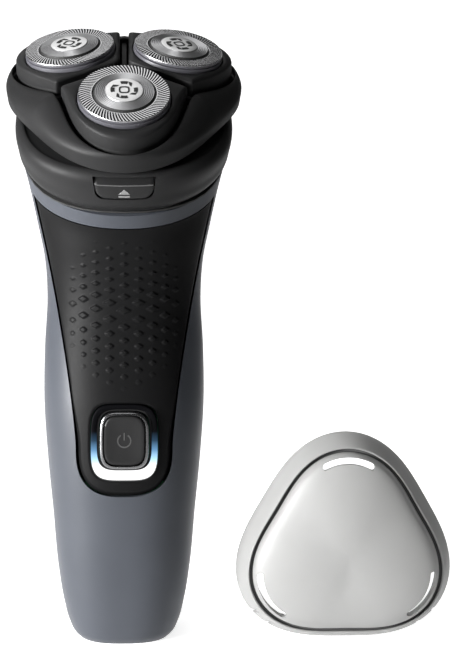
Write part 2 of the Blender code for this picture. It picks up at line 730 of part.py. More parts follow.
def make_battery(wrap, steel, nylon):
    """Cell, contacts, and the channel-shaped frame that holds them, with its two screws."""
    cell = [(0, BATTERY_BOTTOM_Z), (BATTERY_RADIUS - 0.4, BATTERY_BOTTOM_Z),
            (BATTERY_RADIUS, BATTERY_BOTTOM_Z + 0.5), (BATTERY_RADIUS, BATTERY_TOP_Z - 1.6),
            (BATTERY_RADIUS - 0.5, BATTERY_TOP_Z - 1.0), (2.6, BATTERY_TOP_Z - 1.0),
            (2.6, BATTERY_TOP_Z), (0, BATTERY_TOP_Z)]
    turned("battery_cell", cell, wrap, None, (0, BATTERY_Y, 0))
    for name, z in (("battery_contact_lower", BATTERY_BOTTOM_Z - 0.9),
                    ("battery_contact_upper", BATTERY_TOP_Z + 0.3)):
        box(name, (-4.0, BATTERY_Y - 3.5, z), (4.0, BATTERY_Y + 3.5, z + 0.6), steel)
    outline = [(-9.6, -7.0), (9.6, -7.0), (9.6, 8.0), (7.8, 8.0), (7.8, -4.6),
               (-7.8, -4.6), (-7.8, 8.0), (-9.6, 8.0)]
    rings = [[(x, y, z) for x, y in outline] for z in (13.0, 96.0)]
    frame = joined_rings("inner_frame", rings, nylon)
    for name, z in (("lower", 15.5), ("upper", 90.0)):
        for purpose, profile, material in (
            ("hole", rod(1.3, -20, 20), None),
            ("frame_screw", [(0, -0.5), (2.0, -0.5), (2.0, 0.8), (1.0, 0.8), (1.0, 6.0), (0, 6.0)],
             steel),
        ):
            made = turned(f"{purpose}_{name}", profile, material, None, (0, -8.1, z), 12)
            made.rotation_euler = (math.radians(-90), 0, 0)
            if purpose == "hole":
                combine(frame, made, "DIFFERENCE")


def make_socket(black, steel):
    """The charging inlet: a block with a pocket open to below, and its two contacts."""
    half_x, half_y = SOCKET_SIZE[0] / 2, SOCKET_SIZE[1] / 2
    socket = box("charging_socket", (-half_x, SOCKET_Y - half_y, 0.3),
                 (half_x, SOCKET_Y + half_y, SOCKET_TOP_Z), black)
    half_x, half_y = SOCKET_POCKET[0] / 2, SOCKET_POCKET[1] / 2
    pocket = box("socket_pocket", (-half_x, SOCKET_Y - half_y, -2),
                 (half_x, SOCKET_Y + half_y, SOCKET_DEPTH))
    combine(socket, pocket, "DIFFERENCE")
    for side, x in (("left", -2.0), ("right", 2.0)):
        hole = turned(f"contact_hole_{side}", rod(1.0, 4, 12), None, None, (x, SOCKET_Y, 0), 12)
        combine(socket, hole, "DIFFERENCE")
        turned(f"socket_contact_{side}", rod(0.7, SOCKET_DEPTH + 0.2, 11.0), steel, None,
               (x, SOCKET_Y, 0), 12)


def cap_outline(inset, depth, count=36):
    """Points round the cap at a depth from its rim, towards its dome."""
    ring = []
    for i in range(count):
        angle = 2 * math.pi * i / count
        radius = CAP_RADIUS * (1 + CAP_ROUNDNESS * math.cos(3 * angle)) - inset
        ring.append((radius * math.sin(angle), -depth, radius * math.cos(angle)))
    return ring


def make_cap(clear):
    """The protective cap: flared skirt, a recessed step, and a dome with three corner slots."""
    skirt = [(0.0, 0.0), (0.2, 1.8), (2.9, 8.0), (3.4, 7.4), (4.2, 7.4)]
    dome = [(4.7, 8.9), (7.5, 10.8), (14.5, 12.9), (22.0, 13.9)]
    outside = skirt + dome
    inside = [(22.4, 12.6), (15.0, 11.6), (8.6, 9.7), (5.9, 8.0), (5.6, 6.0), (3.4, 6.0),
              (1.4, 0.0)]
    rings = [cap_outline(inset, depth) for inset, depth in outside]
    count = len(rings[0])
    rings += [cap_outline(inset, depth) for inset, depth in inside]
    points = [point for ring in rings for point in ring]
    faces = []
    split = len(outside) - 1
    for row in range(len(rings)):
        if row == split:
            continue
        low = row * count
        high = (row + 1) % len(rings) * count
        for i in range(count):
            j = (i + 1) % count
            faces.append((low + i, low + j, high + j, high + i))
    faces.append(tuple(range(split * count, (split + 1) * count)))
    faces.append(tuple(range((split + 1) * count, (split + 2) * count)))
    lowest = min(point[2] for point in points)
    cap = make_object("protective_cap", points, faces, clear, None, (CAP_X, CAP_RIM_Y, -lowest))
    for number, middle in enumerate((0.0, 120.0, 240.0), start=1):
        combine(cap, cap_slot(number, middle, cap.location), "DIFFERENCE")


def cap_slot(number, middle, place):
    """A guide for one arc-shaped slot through the dome, near a corner of the cap."""
    steps = 8
    outer = []
    inner = []
    for i in range(steps + 1):
        angle = math.radians(middle - CAP_SLOT_HALF_ANGLE + 2 * CAP_SLOT_HALF_ANGLE * i / steps)
        edge = CAP_RADIUS * (1 + CAP_ROUNDNESS * math.cos(3 * angle)) - CAP_SLOT_INSET
        inside = edge - CAP_SLOT_WIDTH
        outer.append((edge * math.sin(angle), edge * math.cos(angle)))
        inner.append((inside * math.sin(angle), inside * math.cos(angle)))
    outline = outer + inner[::-1]
    rings = [[(x, y, z) for x, z in outline] for y in (-30.0, -4.0)]
    slot = joined_rings(f"cap_slot_{number}", rings, None)
    slot.location = place
    return slot


clear_scene()
HEAD = make_empty("head_frame", (0, HEAD_Y, HEAD_Z), (HEAD_TILT, 0, 0))

SATIN_GREY = make_material("satin_grey", (0.20, 0.21, 0.23), 0.42, 0.3)
SATIN_BLACK = make_material("satin_black", (0.025, 0.026, 0.028), 0.45)
GLOSS_BLACK = make_material("gloss_black", (0.03, 0.03, 0.032), 0.25)
STEEL = make_material("shaver_steel", (0.72, 0.72, 0.73), 0.25, 1.0)
CHROME = make_material("dark_chrome", (0.35, 0.35, 0.37), 0.2, 1.0)
BRASS = make_material("brass", (0.70, 0.52, 0.25), 0.35, 1.0)
NYLON = make_material("white_nylon", (0.80, 0.79, 0.75), 0.5)
RUBBER = make_material("seal_rubber", (0.02, 0.02, 0.02), 0.8)
LAVENDER = make_material("guard_ring_plastic", (0.27, 0.26, 0.31), 0.45)
LIGHT_GUIDE = make_material("light_guide", (0.75, 0.88, 1.0), 0.3)
BOARD = make_material("board_green", (0.03, 0.18, 0.07), 0.5)
CELL_WRAP = make_material("cell_wrap", (0.10, 0.25, 0.14), 0.4)
LED = make_material("led_body", (0.9, 0.92, 0.95), 0.3)
CAP_PLASTIC = make_material("cap_plastic", (0.80, 0.80, 0.79), 0.3)

make_handle(SATIN_GREY, SATIN_BLACK, RUBBER)
make_collar(SATIN_BLACK)
make_release_button(GLOSS_BLACK, STEEL)
make_hinge_pin(STEEL)
make_cowl(SATIN_BLACK)
make_shaving_heads(SATIN_BLACK, STEEL, LAVENDER, NYLON)
make_drive(STEEL, BRASS, NYLON, RUBBER)
make_chamber(SATIN_BLACK, NYLON, STEEL)
make_power_button(SATIN_BLACK, CHROME, LIGHT_GUIDE, BOARD, GLOSS_BLACK, LED)
make_battery(CELL_WRAP, STEEL, NYLON)
make_socket(GLOSS_BLACK, STEEL)
make_cap(CAP_PLASTIC)
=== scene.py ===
"""The looks of the electric shaver and its protective cap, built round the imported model.

Lengths are millimetres, and MM turns them into metres. The outer shells are rebuilt finely from the
part's own sections, and the pieces inside keep their meshes and get finished materials.

The head leans forward: its pieces are drawn in the head frame (X to the side, V to the back, H along
the head's axis) and placed by HEAD.
"""

import json
import math

import bmesh
import bpy
import numpy as np
from mathutils import Matrix, Vector


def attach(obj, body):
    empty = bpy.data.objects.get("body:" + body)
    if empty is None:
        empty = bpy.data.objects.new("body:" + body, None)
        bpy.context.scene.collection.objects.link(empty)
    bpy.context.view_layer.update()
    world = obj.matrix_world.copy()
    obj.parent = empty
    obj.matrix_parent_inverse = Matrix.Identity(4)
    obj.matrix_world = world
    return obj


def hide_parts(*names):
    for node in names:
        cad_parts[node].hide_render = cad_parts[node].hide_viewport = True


MM = 0.001

HEAD_TILT = 28.0
HEAD_Y = -6.0
HEAD_Z = 156.3
LOBE_ANGLES = (-90.0, 30.0, 150.0)

GUARD_SPREAD = 16.8
GUARD_SPLAY = 8.7
GUARD_RADIUS = 11.8
PIVOT_H = -7.0
PIVOT_SPREAD = GUARD_SPREAD + PIVOT_H * math.tan(math.radians(GUARD_SPLAY))
LOBE_GAP = 2.3
LOBE_CORNER = 20.0
LOBE_TOP = -2.0
LOBE_WALL = 1.1
LOBE_SKIRT_H = -7.6
LOBE_SEAM_INSET = 0.18
SHOULDER_START = 14.0
SEAM_RELIEF = 0.35

SEAM_CORNER_RADIUS = 20.4
SEAM_END_RADIUS = 32.3
SEAM_CORNER_H = -4.0
SEAM_END_H = -9.0
SEAM_GAP = 0.45

COWL_RADIUS = 30.82
COWL_ROUNDNESS = 0.08
COWL_WIDEST_H = -10.3
COWL_BOTTOM_H = -15.0
COWL_FLATNESS = 1.22
FRONT_CREASE_DROP = 1.25

HINGE_V = 27.0
HINGE_H = -15.2
KNUCKLE_RADIUS = 1.25
KNUCKLE_GAP = 0.35

# Handle sections: height and Y of the centre, lean, half width, reach to the front and back, and
# the power of the rounded outline.
STATIONS = (
    (0.0, 0.0, 0.0, 12.4, 12.6, 12.2, 2.5),
    (1.2, 0.0, 0.0, 13.6, 13.9, 13.4, 2.5),
    (4.0, 0.0, 0.0, 15.0, 15.1, 14.7, 2.5),
    (9.7, 0.0, 0.0, 16.5, 16.3, 15.8, 2.5),
    (20.0, 0.0, 0.0, 18.1, 17.3, 16.9, 2.5),
    (35.0, 0.2, 0.0, 19.4, 18.6, 18.0, 2.45),
    (50.0, 0.6, 0.0, 20.8, 19.8, 19.0, 2.4),
    (65.0, 1.3, 1.0, 21.7, 20.1, 19.5, 2.4),
    (80.0, 2.2, 4.0, 21.5, 19.0, 19.9, 2.35),
    (93.5, 3.0, 8.0, 20.8, 18.4, 20.3, 2.3),
    (104.0, 3.6, 15.0, 21.4, 19.5, 21.2, 2.3),
    (115.0, 5.0, 22.0, 23.5, 23.0, 22.2, 2.25),
    (126.2, 6.6, 28.0, 25.9, 28.0, 22.9, 2.15),
)
BAND_TOP_H = -28.2
BAND_BOTTOM_H = -32.6
BAND_CENTRE_V = 1.3
BAND_RIM = (27.4, 32.7, 21.4, 2.1)
HANDLE_WALL = 2.0
FLOOR_Z = 4.0
SOCKET_HALF = (5.8, 4.3)
SOCKET_Y = 6.0

# Collar sections: height, half width, reach to the front and back, and power.
COLLAR_SECTIONS = (
    (-27.2, 27.0, 30.7, 21.9, 2.1),
    (-25.4, 28.0, 31.9, 23.7, 2.15),
    (-22.5, 28.6, 32.2, 24.8, 2.2),
    (-18.5, 29.0, 32.2, 25.7, 2.4),
    (-15.3, 28.8, 31.6, 26.0, 2.5),
)
COLLAR_WALL = 1.4
COLLAR_TOP_H = -15.35
SHOULDER_H = -17.9
SHOULDER_REACH = 2.0
BACK_SHOULDER_SHARE = 0.12

PANEL_FOOT_Z = 42.2
PANEL_SHOULDER_Z = 55.0
PANEL_FOOT_DROP = PANEL_SHOULDER_Z - PANEL_FOOT_Z
PANEL_HALF_WIDTH = 12.7
PANEL_FOOT_POWER = 2.8
PANEL_WIDENING = 0.0396
PANEL_WIDENING_POWER = 1.35
PANEL_GRID_Z = 72.0
PANEL_WALL = 1.4
PANEL_CHAMFER = 1.35
PANEL_CHAMFER_DEPTH = 0.95
SIDE_CHAMFER = 0.5

BUMP_RADIUS = 18.0
BUMP_PITCH = 3.85
BUMP_MIDDLE_Z = 91.4
BUMP_HEIGHT = 0.36

BUTTON_Z = 57.4
BUTTON_SIZE = (12.9, 15.3)
BUTTON_FACE_Y = -20.1
BEZEL_WIDTH = 0.7
BEZEL_DROP = 0.45
BEZEL_BACK_Y = -18.7
RING_Z = 56.75
RING_SIZE = (17.6, 20.3)
RING_FACE_Y = -19.0
RING_BACK_Y = -16.4
LIT_HOLE_SIZE = (14.5, 16.4)
LIT_HOLE_Z = 57.45
SQUIRCLE_POWER = 4.0

RELEASE_H = -19.65
RELEASE_SIZE = (15.7, 5.7)
RELEASE_LOW_H = RELEASE_H - RELEASE_SIZE[1] / 2
RELEASE_DRAW_IN = 0.9
RIDGE_HALF = 7.35
RIDGE_H = -18.5
RELEASE_CORNER = 2.3
RELEASE_LEAN = 0.9
RELEASE_DEPTH = 1.2

SLOT_COUNT = 80
DISC_RADIUS = 4.85
DISC_HEIGHT = 0.93
GUARD_SET_IN = 0.07
TURNED_RADIUS = 7.8
STEP_RADIUS = 8.16
SLOT_INNER = 8.6
SLOT_OUTER = 11.62
SLOT_SKEW = 8.0
SLOT_DEPTH = 0.8

CAP_RADIUS = 28.56
CAP_ROUNDNESS = 0.095
CAP_X = 60.0
CAP_RIM_Y = -6.0
CAP_SLOT_INSET = 6.2
CAP_SLOT_WIDTH = 1.75
CAP_SLOT_HALF_ANGLE = 17.0
CAP_SLOT_ROUND_FROM = 0.86
RIM_NOTCH_ANGLES = (126.0, 136.0, 224.0, 234.0)
RIM_NOTCH_HALF_ANGLE = 1.3
RIM_NOTCH_INSETS = (-1.0, 1.7)

GAP = 0.3
PANEL_GAP = 0.16

CAMERA_PLACE = (0.0, -0.5077, 0.1561)
CAMERA_PITCH = 8.0
CAMERA_YAW = 3.18
CAMERA_ROLL = 0.44
CAMERA_LENS = 103.5

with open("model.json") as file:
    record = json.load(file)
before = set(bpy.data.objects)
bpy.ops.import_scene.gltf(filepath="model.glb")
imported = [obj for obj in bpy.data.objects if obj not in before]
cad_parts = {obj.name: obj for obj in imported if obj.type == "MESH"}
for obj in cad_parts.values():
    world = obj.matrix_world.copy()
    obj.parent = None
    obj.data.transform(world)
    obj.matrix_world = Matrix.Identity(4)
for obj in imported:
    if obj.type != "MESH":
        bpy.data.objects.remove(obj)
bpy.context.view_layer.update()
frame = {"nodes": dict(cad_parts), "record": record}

# --- Mesh helpers

def polar(radius, degrees):
    angle = math.radians(degrees)
    return radius * math.cos(angle), radius * math.sin(angle)


def arc(radius, start, end, steps):
    """Points from one angle to another, both ends included."""
    return [polar(radius, start + (end - start) * i / steps) for i in range(steps + 1)]


def moved(*place):
    return Matrix.Translation(place)


def turned(degrees, axis):
    return Matrix.Rotation(math.radians(degrees), 4, axis)


HEAD = moved(0.0, HEAD_Y, HEAD_Z) @ turned(HEAD_TILT, "X")


def grown(size, amount):
    return (size[0] + 2 * amount, size[1] + 2 * amount)


def box_outline(half, low, high):
    return [(-half, low), (half, low), (half, high), (-half, high)]


def along_y(outline, *places):
    """Rings of an (x, z) outline at places along Y."""
    return [[(x, y, z) for x, z in outline] for y in places]


def along_z(outline, *places):
    """Rings of an (x, y) outline at places along Z."""
    return [[(x, y, z) for x, y in outline] for z in places]


def shade(mesh, sharp=35.0):
    mesh.shade_smooth()
    mesh.set_sharp_from_angle(angle=math.radians(sharp))


def add_object(name, data):
    made = bpy.data.objects.new(name, data)
    bpy.context.scene.collection.objects.link(made)
    return made


def make_piece(name, points, faces, materials=(), place=Matrix(), sharp=35.0, groups=None):
    """An object whose mesh holds world places in metres, from points in millimetres."""
    mesh = bpy.data.meshes.new(name)
    mesh.from_pydata([place @ Vector(point) * MM for point in points], [], faces)
    for material in materials:
        mesh.materials.append(material)
    if groups:
        mesh.polygons.foreach_set("material_index", groups)
    working = bmesh.new()
    working.from_mesh(mesh)
    bmesh.ops.remove_doubles(working, verts=working.verts, dist=1e-7)
    bmesh.ops.recalc_face_normals(working, faces=working.faces)
    working.to_mesh(mesh)
    working.free()
    shade(mesh, sharp)
    return add_object(name, mesh)


def ring_faces(rows, count, closed=False):
    """Quads between rings of equally many points."""
    bands = [(row * count, (row + 1) % rows * count) for row in range(rows if closed else rows - 1)]
    sides = [(i, (i + 1) % count) for i in range(count)]
    return [(low + i, low + j, high + j, high + i) for low, high in bands for i, j in sides]


def grid_faces(rows, count, start=0):
    """Quads between the rows of an open grid whose points begin at start."""
    lows = [start + row * count + i for row in range(rows - 1) for i in range(count - 1)]
    return [(low, low + count, low + count + 1, low + 1) for low in lows]


def ring_solid(rings, closed=False):
    """Points and faces of a solid over rings: a closed loop of them, or with two ends."""
    count = len(rings[0])
    points = [point for ring in rings for point in ring]
    faces = ring_faces(len(rings), count, closed)
    if not closed:
        faces += [tuple(range(count)), tuple(range(len(points) - count, len(points)))]
    return points, faces


def merged(solids):
    points, faces = [], []
    for more_points, more_faces in solids:
        faces += [tuple(len(points) + i for i in face) for face in more_faces]
        points += more_points
    return points, faces


def joined_rings(name, rings, material, place=Matrix(), closed=False, sharp=35.0):
    return make_piece(name, *ring_solid(rings, closed), [material], place, sharp)


def cutter(rings, place=HEAD):
    """A solid for cut(), with no material of its own."""
    return make_piece("cutter", *ring_solid(rings), place=place)


def cut(target, operand, operation="DIFFERENCE"):
    """Applies an exact Boolean and removes the operand."""
    modifier = target.modifiers.new("cut", "BOOLEAN")
    modifier.operation = operation
    modifier.solver = "EXACT"
    modifier.object = operand
    graph = bpy.context.evaluated_depsgraph_get()
    result = bpy.data.meshes.new_from_object(target.evaluated_get(graph))
    target.modifiers.remove(modifier)
    target.data = result
    bpy.data.objects.remove(operand, do_unlink=True)


def stand_for(piece, body, slot, *nodes):
    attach(piece, body)
    if nodes:
        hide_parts(*nodes)


def signed_power(value, power):
    return math.copysign(abs(value) ** power, value)


def superellipse(half_width, front, back, power, count):
    outline = []
    for across, along in arc(1.0, 0, 360, count)[:-1]:
        x = half_width * signed_power(across, 2 / power)
        outline.append((x, (back if along > 0 else front) * signed_power(along, 2 / power)))
    return outline


def even_superellipse(half_width, front, back, power, count=240):
    """A superellipse whose points are evenly spaced along it."""
    fine = np.array(superellipse(half_width, front, back, power, 1440))
    loop = np.vstack([fine, fine[:1]])
    steps = np.hypot(*np.diff(loop, axis=0).T)
    along = np.concatenate([[0.0], np.cumsum(steps)])
    wanted = np.linspace(0.0, along[-1], count, endpoint=False)
    return list(zip(np.interp(wanted, along, loop[:, 0]), np.interp(wanted, along, loop[:, 1])))


def smooth_curve(stations, places):
    """Every column of the stations at the places given, on one smooth curve through them."""
    table = np.array(stations, float)
    knots = table[:, 0]
    slopes = np.gradient(table, knots, axis=0)
    places = np.asarray(places, float)
    index = np.clip(np.searchsorted(knots, places, side="right") - 1, 0, len(knots) - 2)
    span = (knots[index + 1] - knots[index])[:, None]
    t = (places - knots[index])[:, None] / span
    return ((2 * t**3 - 3 * t**2 + 1) * table[index] + (t**3 - 2 * t**2 + t) * span * slopes[index]
            + (3 * t**2 - 2 * t**3) * table[index + 1] + (t**3 - t**2) * span * slopes[index + 1])


def smooth_step(value):
    value = np.clip(value, 0.0, 1.0)
    return value * value * (3 - 2 * value)


def halved(low, high, is_past, rounds):
    """Where is_past turns true between low and high, by halving the spans."""
    for _ in range(rounds):
        middle = (low + high) / 2
        past = is_past(middle)
        high = np.where(past, middle, high)
        low = np.where(past, low, middle)
    return (low + high) / 2


# --- Materials

def set_inputs(node, inputs):
    """Gives each input its value, or a link where the value is another node's output."""
    for key, value in inputs.items():
        if isinstance(value, bpy.types.NodeSocket):
            node.id_data.links.new(value, node.inputs[key])
        else:
            node.inputs[key].default_value = value


def set_shader(material, inputs):
    set_inputs(material.node_tree.nodes["Principled BSDF"], inputs)


def add_node(material, kind, inputs, operation=None):
    """The first output of a new shader node."""
    node = material.node_tree.nodes.new("ShaderNode" + kind)
    if operation:
        node.operation = operation
    set_inputs(node, inputs)
    return node.outputs[0]


def add_range(material, value, start, end, low, high):
    return add_node(material, "MapRange", {"Value": value, "From Min": start, "From Max": end,
                                           "To Min": low, "To Max": high})


def add_ramp(material, source, stops):
    color = add_node(material, "ValToRGB", {"Fac": source})
    elements = color.node.color_ramp.elements
    while len(elements) < len(stops):
        elements.new(0.5)
    for element, (position, stop_color) in zip(elements, stops):
        element.position = position
        element.color = (*stop_color, 1)
    return color


def object_place(material):
    return add_node(material, "TexCoord", {}).node.outputs["Object"]


def object_axes(material):
    return add_node(material, "SeparateXYZ", {"Vector": object_place(material)}).node.outputs


def finish(name, color, roughness, metallic=0.0, grain=2600.0, grain_depth=0.00003, mottle=0.06,
           rough_spread=0.08, shine=0.5, mottle_scale=60.0):
    """A material with slight colour mottling, uneven roughness and fine moulded grain."""
    made = bpy.data.materials.new(name)
    made.use_nodes = True
    place = object_place(made)
    cloud = add_node(made, "TexNoise", {"Scale": mottle_scale, "Detail": 4.0, "Vector": place})
    base = add_ramp(made, cloud, ((0.3, [c * (1 - mottle) for c in color]),
                                  (0.7, [min(1.0, c * (1 + mottle)) for c in color])))
    fine = add_node(made, "TexNoise", {"Scale": grain, "Detail": 2.0, "Vector": place})
    smoothest = max(0.02, roughness - rough_spread / 2)
    uneven = add_range(made, fine, 0.3, 0.7, smoothest, roughness + rough_spread / 2)
    bump = add_node(made, "Bump", {"Strength": 0.5, "Distance": grain_depth, "Height": fine})
    set_shader(made, {"Metallic": metallic, "Specular IOR Level": shine, "Base Color": base,
                      "Roughness": uneven, "Normal": bump})
    return made


def light_material():
    """A light guide lit from its foot: white low down, blue up its sides, dark at the top."""
    made = finish("light_guide_finish", (0.002, 0.002, 0.0025), 0.55, shine=0.03)
    foot = (RING_Z - RING_SIZE[1] / 2) * MM
    rise = add_range(made, object_axes(made)["Z"], foot, foot + RING_SIZE[1] * MM, 0.0, 1.0)
    stops = ((0.0, (1.0, 1.0, 1.0)), (0.19, (1.0, 1.0, 1.0)), (0.29, (0.45, 0.75, 1.0)),
             (0.41, (0.12, 0.27, 0.46)), (0.53, (0.02, 0.05, 0.09)), (0.65, (0.0, 0.0, 0.0)))
    set_shader(made, {"Emission Color": add_ramp(made, rise, stops), "Emission Strength": 1.25})
    return made


def cap_material():
    """Clear plastic, frosted inside: it passes some light and scatters the rest."""
    made = finish("cap_finish", (0.38, 0.38, 0.375), 0.5, grain_depth=0.00002, mottle=0.03,
                  rough_spread=0.06, shine=0.3)
    set_shader(made, {"Transmission Weight": 0.55, "IOR": 1.49})
    return made


def floor_material():
    """A pale sheet with painted light: it glows from the object's place backwards and fades towards the
    front and sides, like a lit backdrop.
    """
    made = finish("pale_floor", (0.85, 0.85, 0.85), 0.9, grain_depth=0.0, mottle=0.01)
    x, y, _ = object_axes(made)
    depth = add_range(made, y, -0.1, -0.03, 0.0, 0.8)
    side = add_node(made, "Math", {0: x}, "ABSOLUTE")
    widening = add_node(made, "Math", {0: y, 1: -0.22, 2: side}, "MULTIPLY_ADD")
    edge = add_range(made, widening, 0.12, 0.24, 1.0, 0.0)
    glow = add_node(made, "Math", {0: depth, 1: edge}, "MULTIPLY")
    set_shader(made, {"Emission Strength": glow, "Emission Color": (1.0, 1.0, 1.0, 1.0)})
    return made


GREY_PAINT = finish("grey_paint", (0.046, 0.05, 0.059), 0.42, grain=5200.0, grain_depth=0.000006,
                    mottle=0.04, shine=0.2)
PANEL_BLACK = finish("panel_black", (0.0042, 0.0042, 0.0044), 0.52, grain=3800.0, shine=0.09)
HEAD_BLACK = finish("head_black", (0.012, 0.012, 0.0123), 0.54, grain=3400.0, shine=0.17)
BUTTON_BLACK = finish("button_black", (0.011, 0.011, 0.0112), 0.4, grain=4200.0, shine=0.25)
# Near-black painted shade for places that only show shadow: slot floors, guard openings, the guard's step
# ring and the lobes' skirt seams.
PAINTED_SHADE_BLACK = finish("slot_shadow", (0.004, 0.004, 0.004), 0.7)
STEEL = finish("guard_steel", (0.66, 0.66, 0.67), 0.26, 1.0, 3000.0, 0.000004, 0.05, 0.12)
DISC_STEEL = finish("disc_steel", (0.62, 0.62, 0.62), 0.36, 0.6, 3000.0, 0.000004, 0.04)
TURNED_STEEL = finish("turned_steel", (0.55, 0.55, 0.56), 0.4, 1.0, 3000.0, 0.000004, 0.04)
PLAIN_STEEL = finish("plain_steel", (0.52, 0.52, 0.53), 0.32, 1.0, grain_depth=0.00001)
CHROME = finish("dark_chrome_finish", (0.22, 0.22, 0.225), 0.26, 1.0, 3000.0, 0.000003, 0.03)
LAVENDER = finish("ring_plastic", (0.062, 0.061, 0.07), 0.4, grain=3200.0)
PRINT_GREY = finish("print_grey", (0.16, 0.16, 0.16), 0.5)
# A lighter grey on the release button's edge line: a painted highlight, as if the edge caught the light.
RIDGE_HIGHLIGHT_GREY = finish("ridge_painted_highlight", (0.09, 0.09, 0.09), 0.3)
ICON_GREY = finish("icon_grey", (0.045, 0.045, 0.045), 0.35)
LIGHT_GUIDE = light_material()
CAP_PLASTIC = cap_material()
# A darker grey for the cap's recessed step: painted shade in the groove.
CAP_GROOVE_SHADE = finish("cap_groove_painted_shade", (0.05, 0.05, 0.05), 0.6)

NODE_FINISHES = {
    "satin_grey": GREY_PAINT, "satin_black": HEAD_BLACK, "shaver_steel": PLAIN_STEEL,
    "dark_chrome": CHROME, "guard_ring_plastic": LAVENDER, "light_guide": LIGHT_GUIDE,
    "cap_plastic": CAP_PLASTIC,
    "brass": finish("brass_finish", (0.68, 0.48, 0.2), 0.34, 1.0, grain_depth=0.00001),
    "white_nylon": finish("nylon_finish", (0.74, 0.73, 0.69), 0.5),
    "seal_rubber": finish("rubber_finish", (0.018, 0.018, 0.018), 0.75, grain=1800.0),
    "board_green": finish("board_finish", (0.02, 0.14, 0.05), 0.4, mottle=0.2, mottle_scale=300.0),
    "cell_wrap": finish("cell_finish", (0.06, 0.2, 0.1), 0.35, mottle=0.08),
    "led_body": finish("led_finish", (0.85, 0.87, 0.9), 0.3),
    "gloss_black": finish("gloss_black_finish", (0.02, 0.02, 0.021), 0.22),
}


# --- Handle

HEAD_COSINE, HEAD_SINE = polar(1.0, HEAD_TILT)
RIM_Y = HEAD_Y + BAND_CENTRE_V * HEAD_COSINE - BAND_TOP_H * HEAD_SINE
RIM_Z = HEAD_Z + BAND_CENTRE_V * HEAD_SINE + BAND_TOP_H * HEAD_COSINE
ALL_STATIONS = STATIONS + ((RIM_Z, RIM_Y, HEAD_TILT, *BAND_RIM),)
KNOTS = np.linspace(0.0, RIM_Z, 900)
DENSE = smooth_curve(ALL_STATIONS, KNOTS)


def handle_rings(heights, inset=0.0):
    rings = []
    for z, y, lean, half_width, front, back, power in smooth_curve(ALL_STATIONS, heights):
        outline = even_superellipse(half_width - inset, front - inset, back - inset, power)
        run, rise = polar(1.0, lean)
        rings.append([(x, y + v * run, z + v * rise) for x, v in outline])
    return rings


def front_y(x, z):
    """Y of the handle's front surface at each (x, z)."""
    x = np.abs(x)

    def on_ring(knot):
        y, lean, half_width, front, power = (np.interp(knot, KNOTS, DENSE[:, column])
                                             for column in (1, 2, 3, 4, 6))
        share = np.clip(x / half_width, 0.0, 0.999999)
        v = -front * (1 - share**power) ** (1 / power)
        lean = np.radians(lean)
        return y + v * np.cos(lean), knot + v * np.sin(lean)

    low = np.maximum(z - 0.5, 0.0)
    high = np.minimum(z + 24.0, KNOTS[-1])
    return on_ring(halved(low, high, lambda knot: on_ring(knot)[1] > z, 36))[0]


def panel_half_width(z):
    depth = np.clip((PANEL_SHOULDER_Z - z) / PANEL_FOOT_DROP, 0.0, 1.0)
    foot = PANEL_HALF_WIDTH * (1 - depth**PANEL_FOOT_POWER) ** (1 / PANEL_FOOT_POWER)
    rise = np.maximum(z - PANEL_SHOULDER_Z, 0.0)
    return np.where(z < PANEL_SHOULDER_Z, foot,
                    PANEL_HALF_WIDTH + PANEL_WIDENING * rise**PANEL_WIDENING_POWER)


def foot_outline(count):
    """Points round the panel's foot, from the left shoulder to the right one."""
    outline = []
    for fall, across in arc(1.0, -90.0, 90.0, count):
        x = PANEL_HALF_WIDTH * signed_power(across, 2 / PANEL_FOOT_POWER)
        z = PANEL_SHOULDER_Z - PANEL_FOOT_DROP * abs(fall) ** (2 / PANEL_FOOT_POWER)
        outline.append((x, z))
    return outline


def panel_edge(top=125.0, step=0.6):
    """The panel's whole edge from the top left, round the foot, to the top right."""
    heights = np.arange(PANEL_SHOULDER_Z + step, top, step)
    right = list(zip(panel_half_width(heights), heights))
    return [(-x, z) for x, z in right[::-1]] + foot_outline(90) + right


def distance_to(points, line):
    """Distance from each (x, z) to the nearest point of a polyline."""
    start = np.array(line[:-1])
    step = np.array(line[1:]) - start
    length = np.maximum((step**2).sum(axis=1), 1e-12)
    nearest = np.full(len(points), np.inf)
    for origin, along, squared in zip(start, step, length):
        offset = points - origin
        share = np.clip((offset @ along) / squared, 0.0, 1.0)
        gap = np.hypot(*(offset - share[:, None] * along).T)
        nearest = np.minimum(nearest, gap)
    return nearest


def bump_places():
    """Row, arc place, height and strength of each diamond of the grip."""
    for column in range(-4, 5):
        for half_row in range(-12, 13):
            if (half_row + column) % 2:
                continue
            row = half_row / 2
            step, ease, rows = (2.75, 1.3, 6.9) if row > 0 else (3.1, 1.8, 6.3)
            climb = math.copysign(step * abs(row) + ease * (1 - math.exp(-1.2 * abs(row))), row)
            x = BUMP_RADIUS * math.sin(BUMP_PITCH * column / BUMP_RADIUS)
            reach = (column / 5.0) ** 2 + (row / rows) ** 2
            strength = min(1.0, 1.5 * (1 - reach))
            if strength > 0.12:
                yield row, BUMP_PITCH * column, BUMP_MIDDLE_Z + climb + 0.008 * x * x, strength


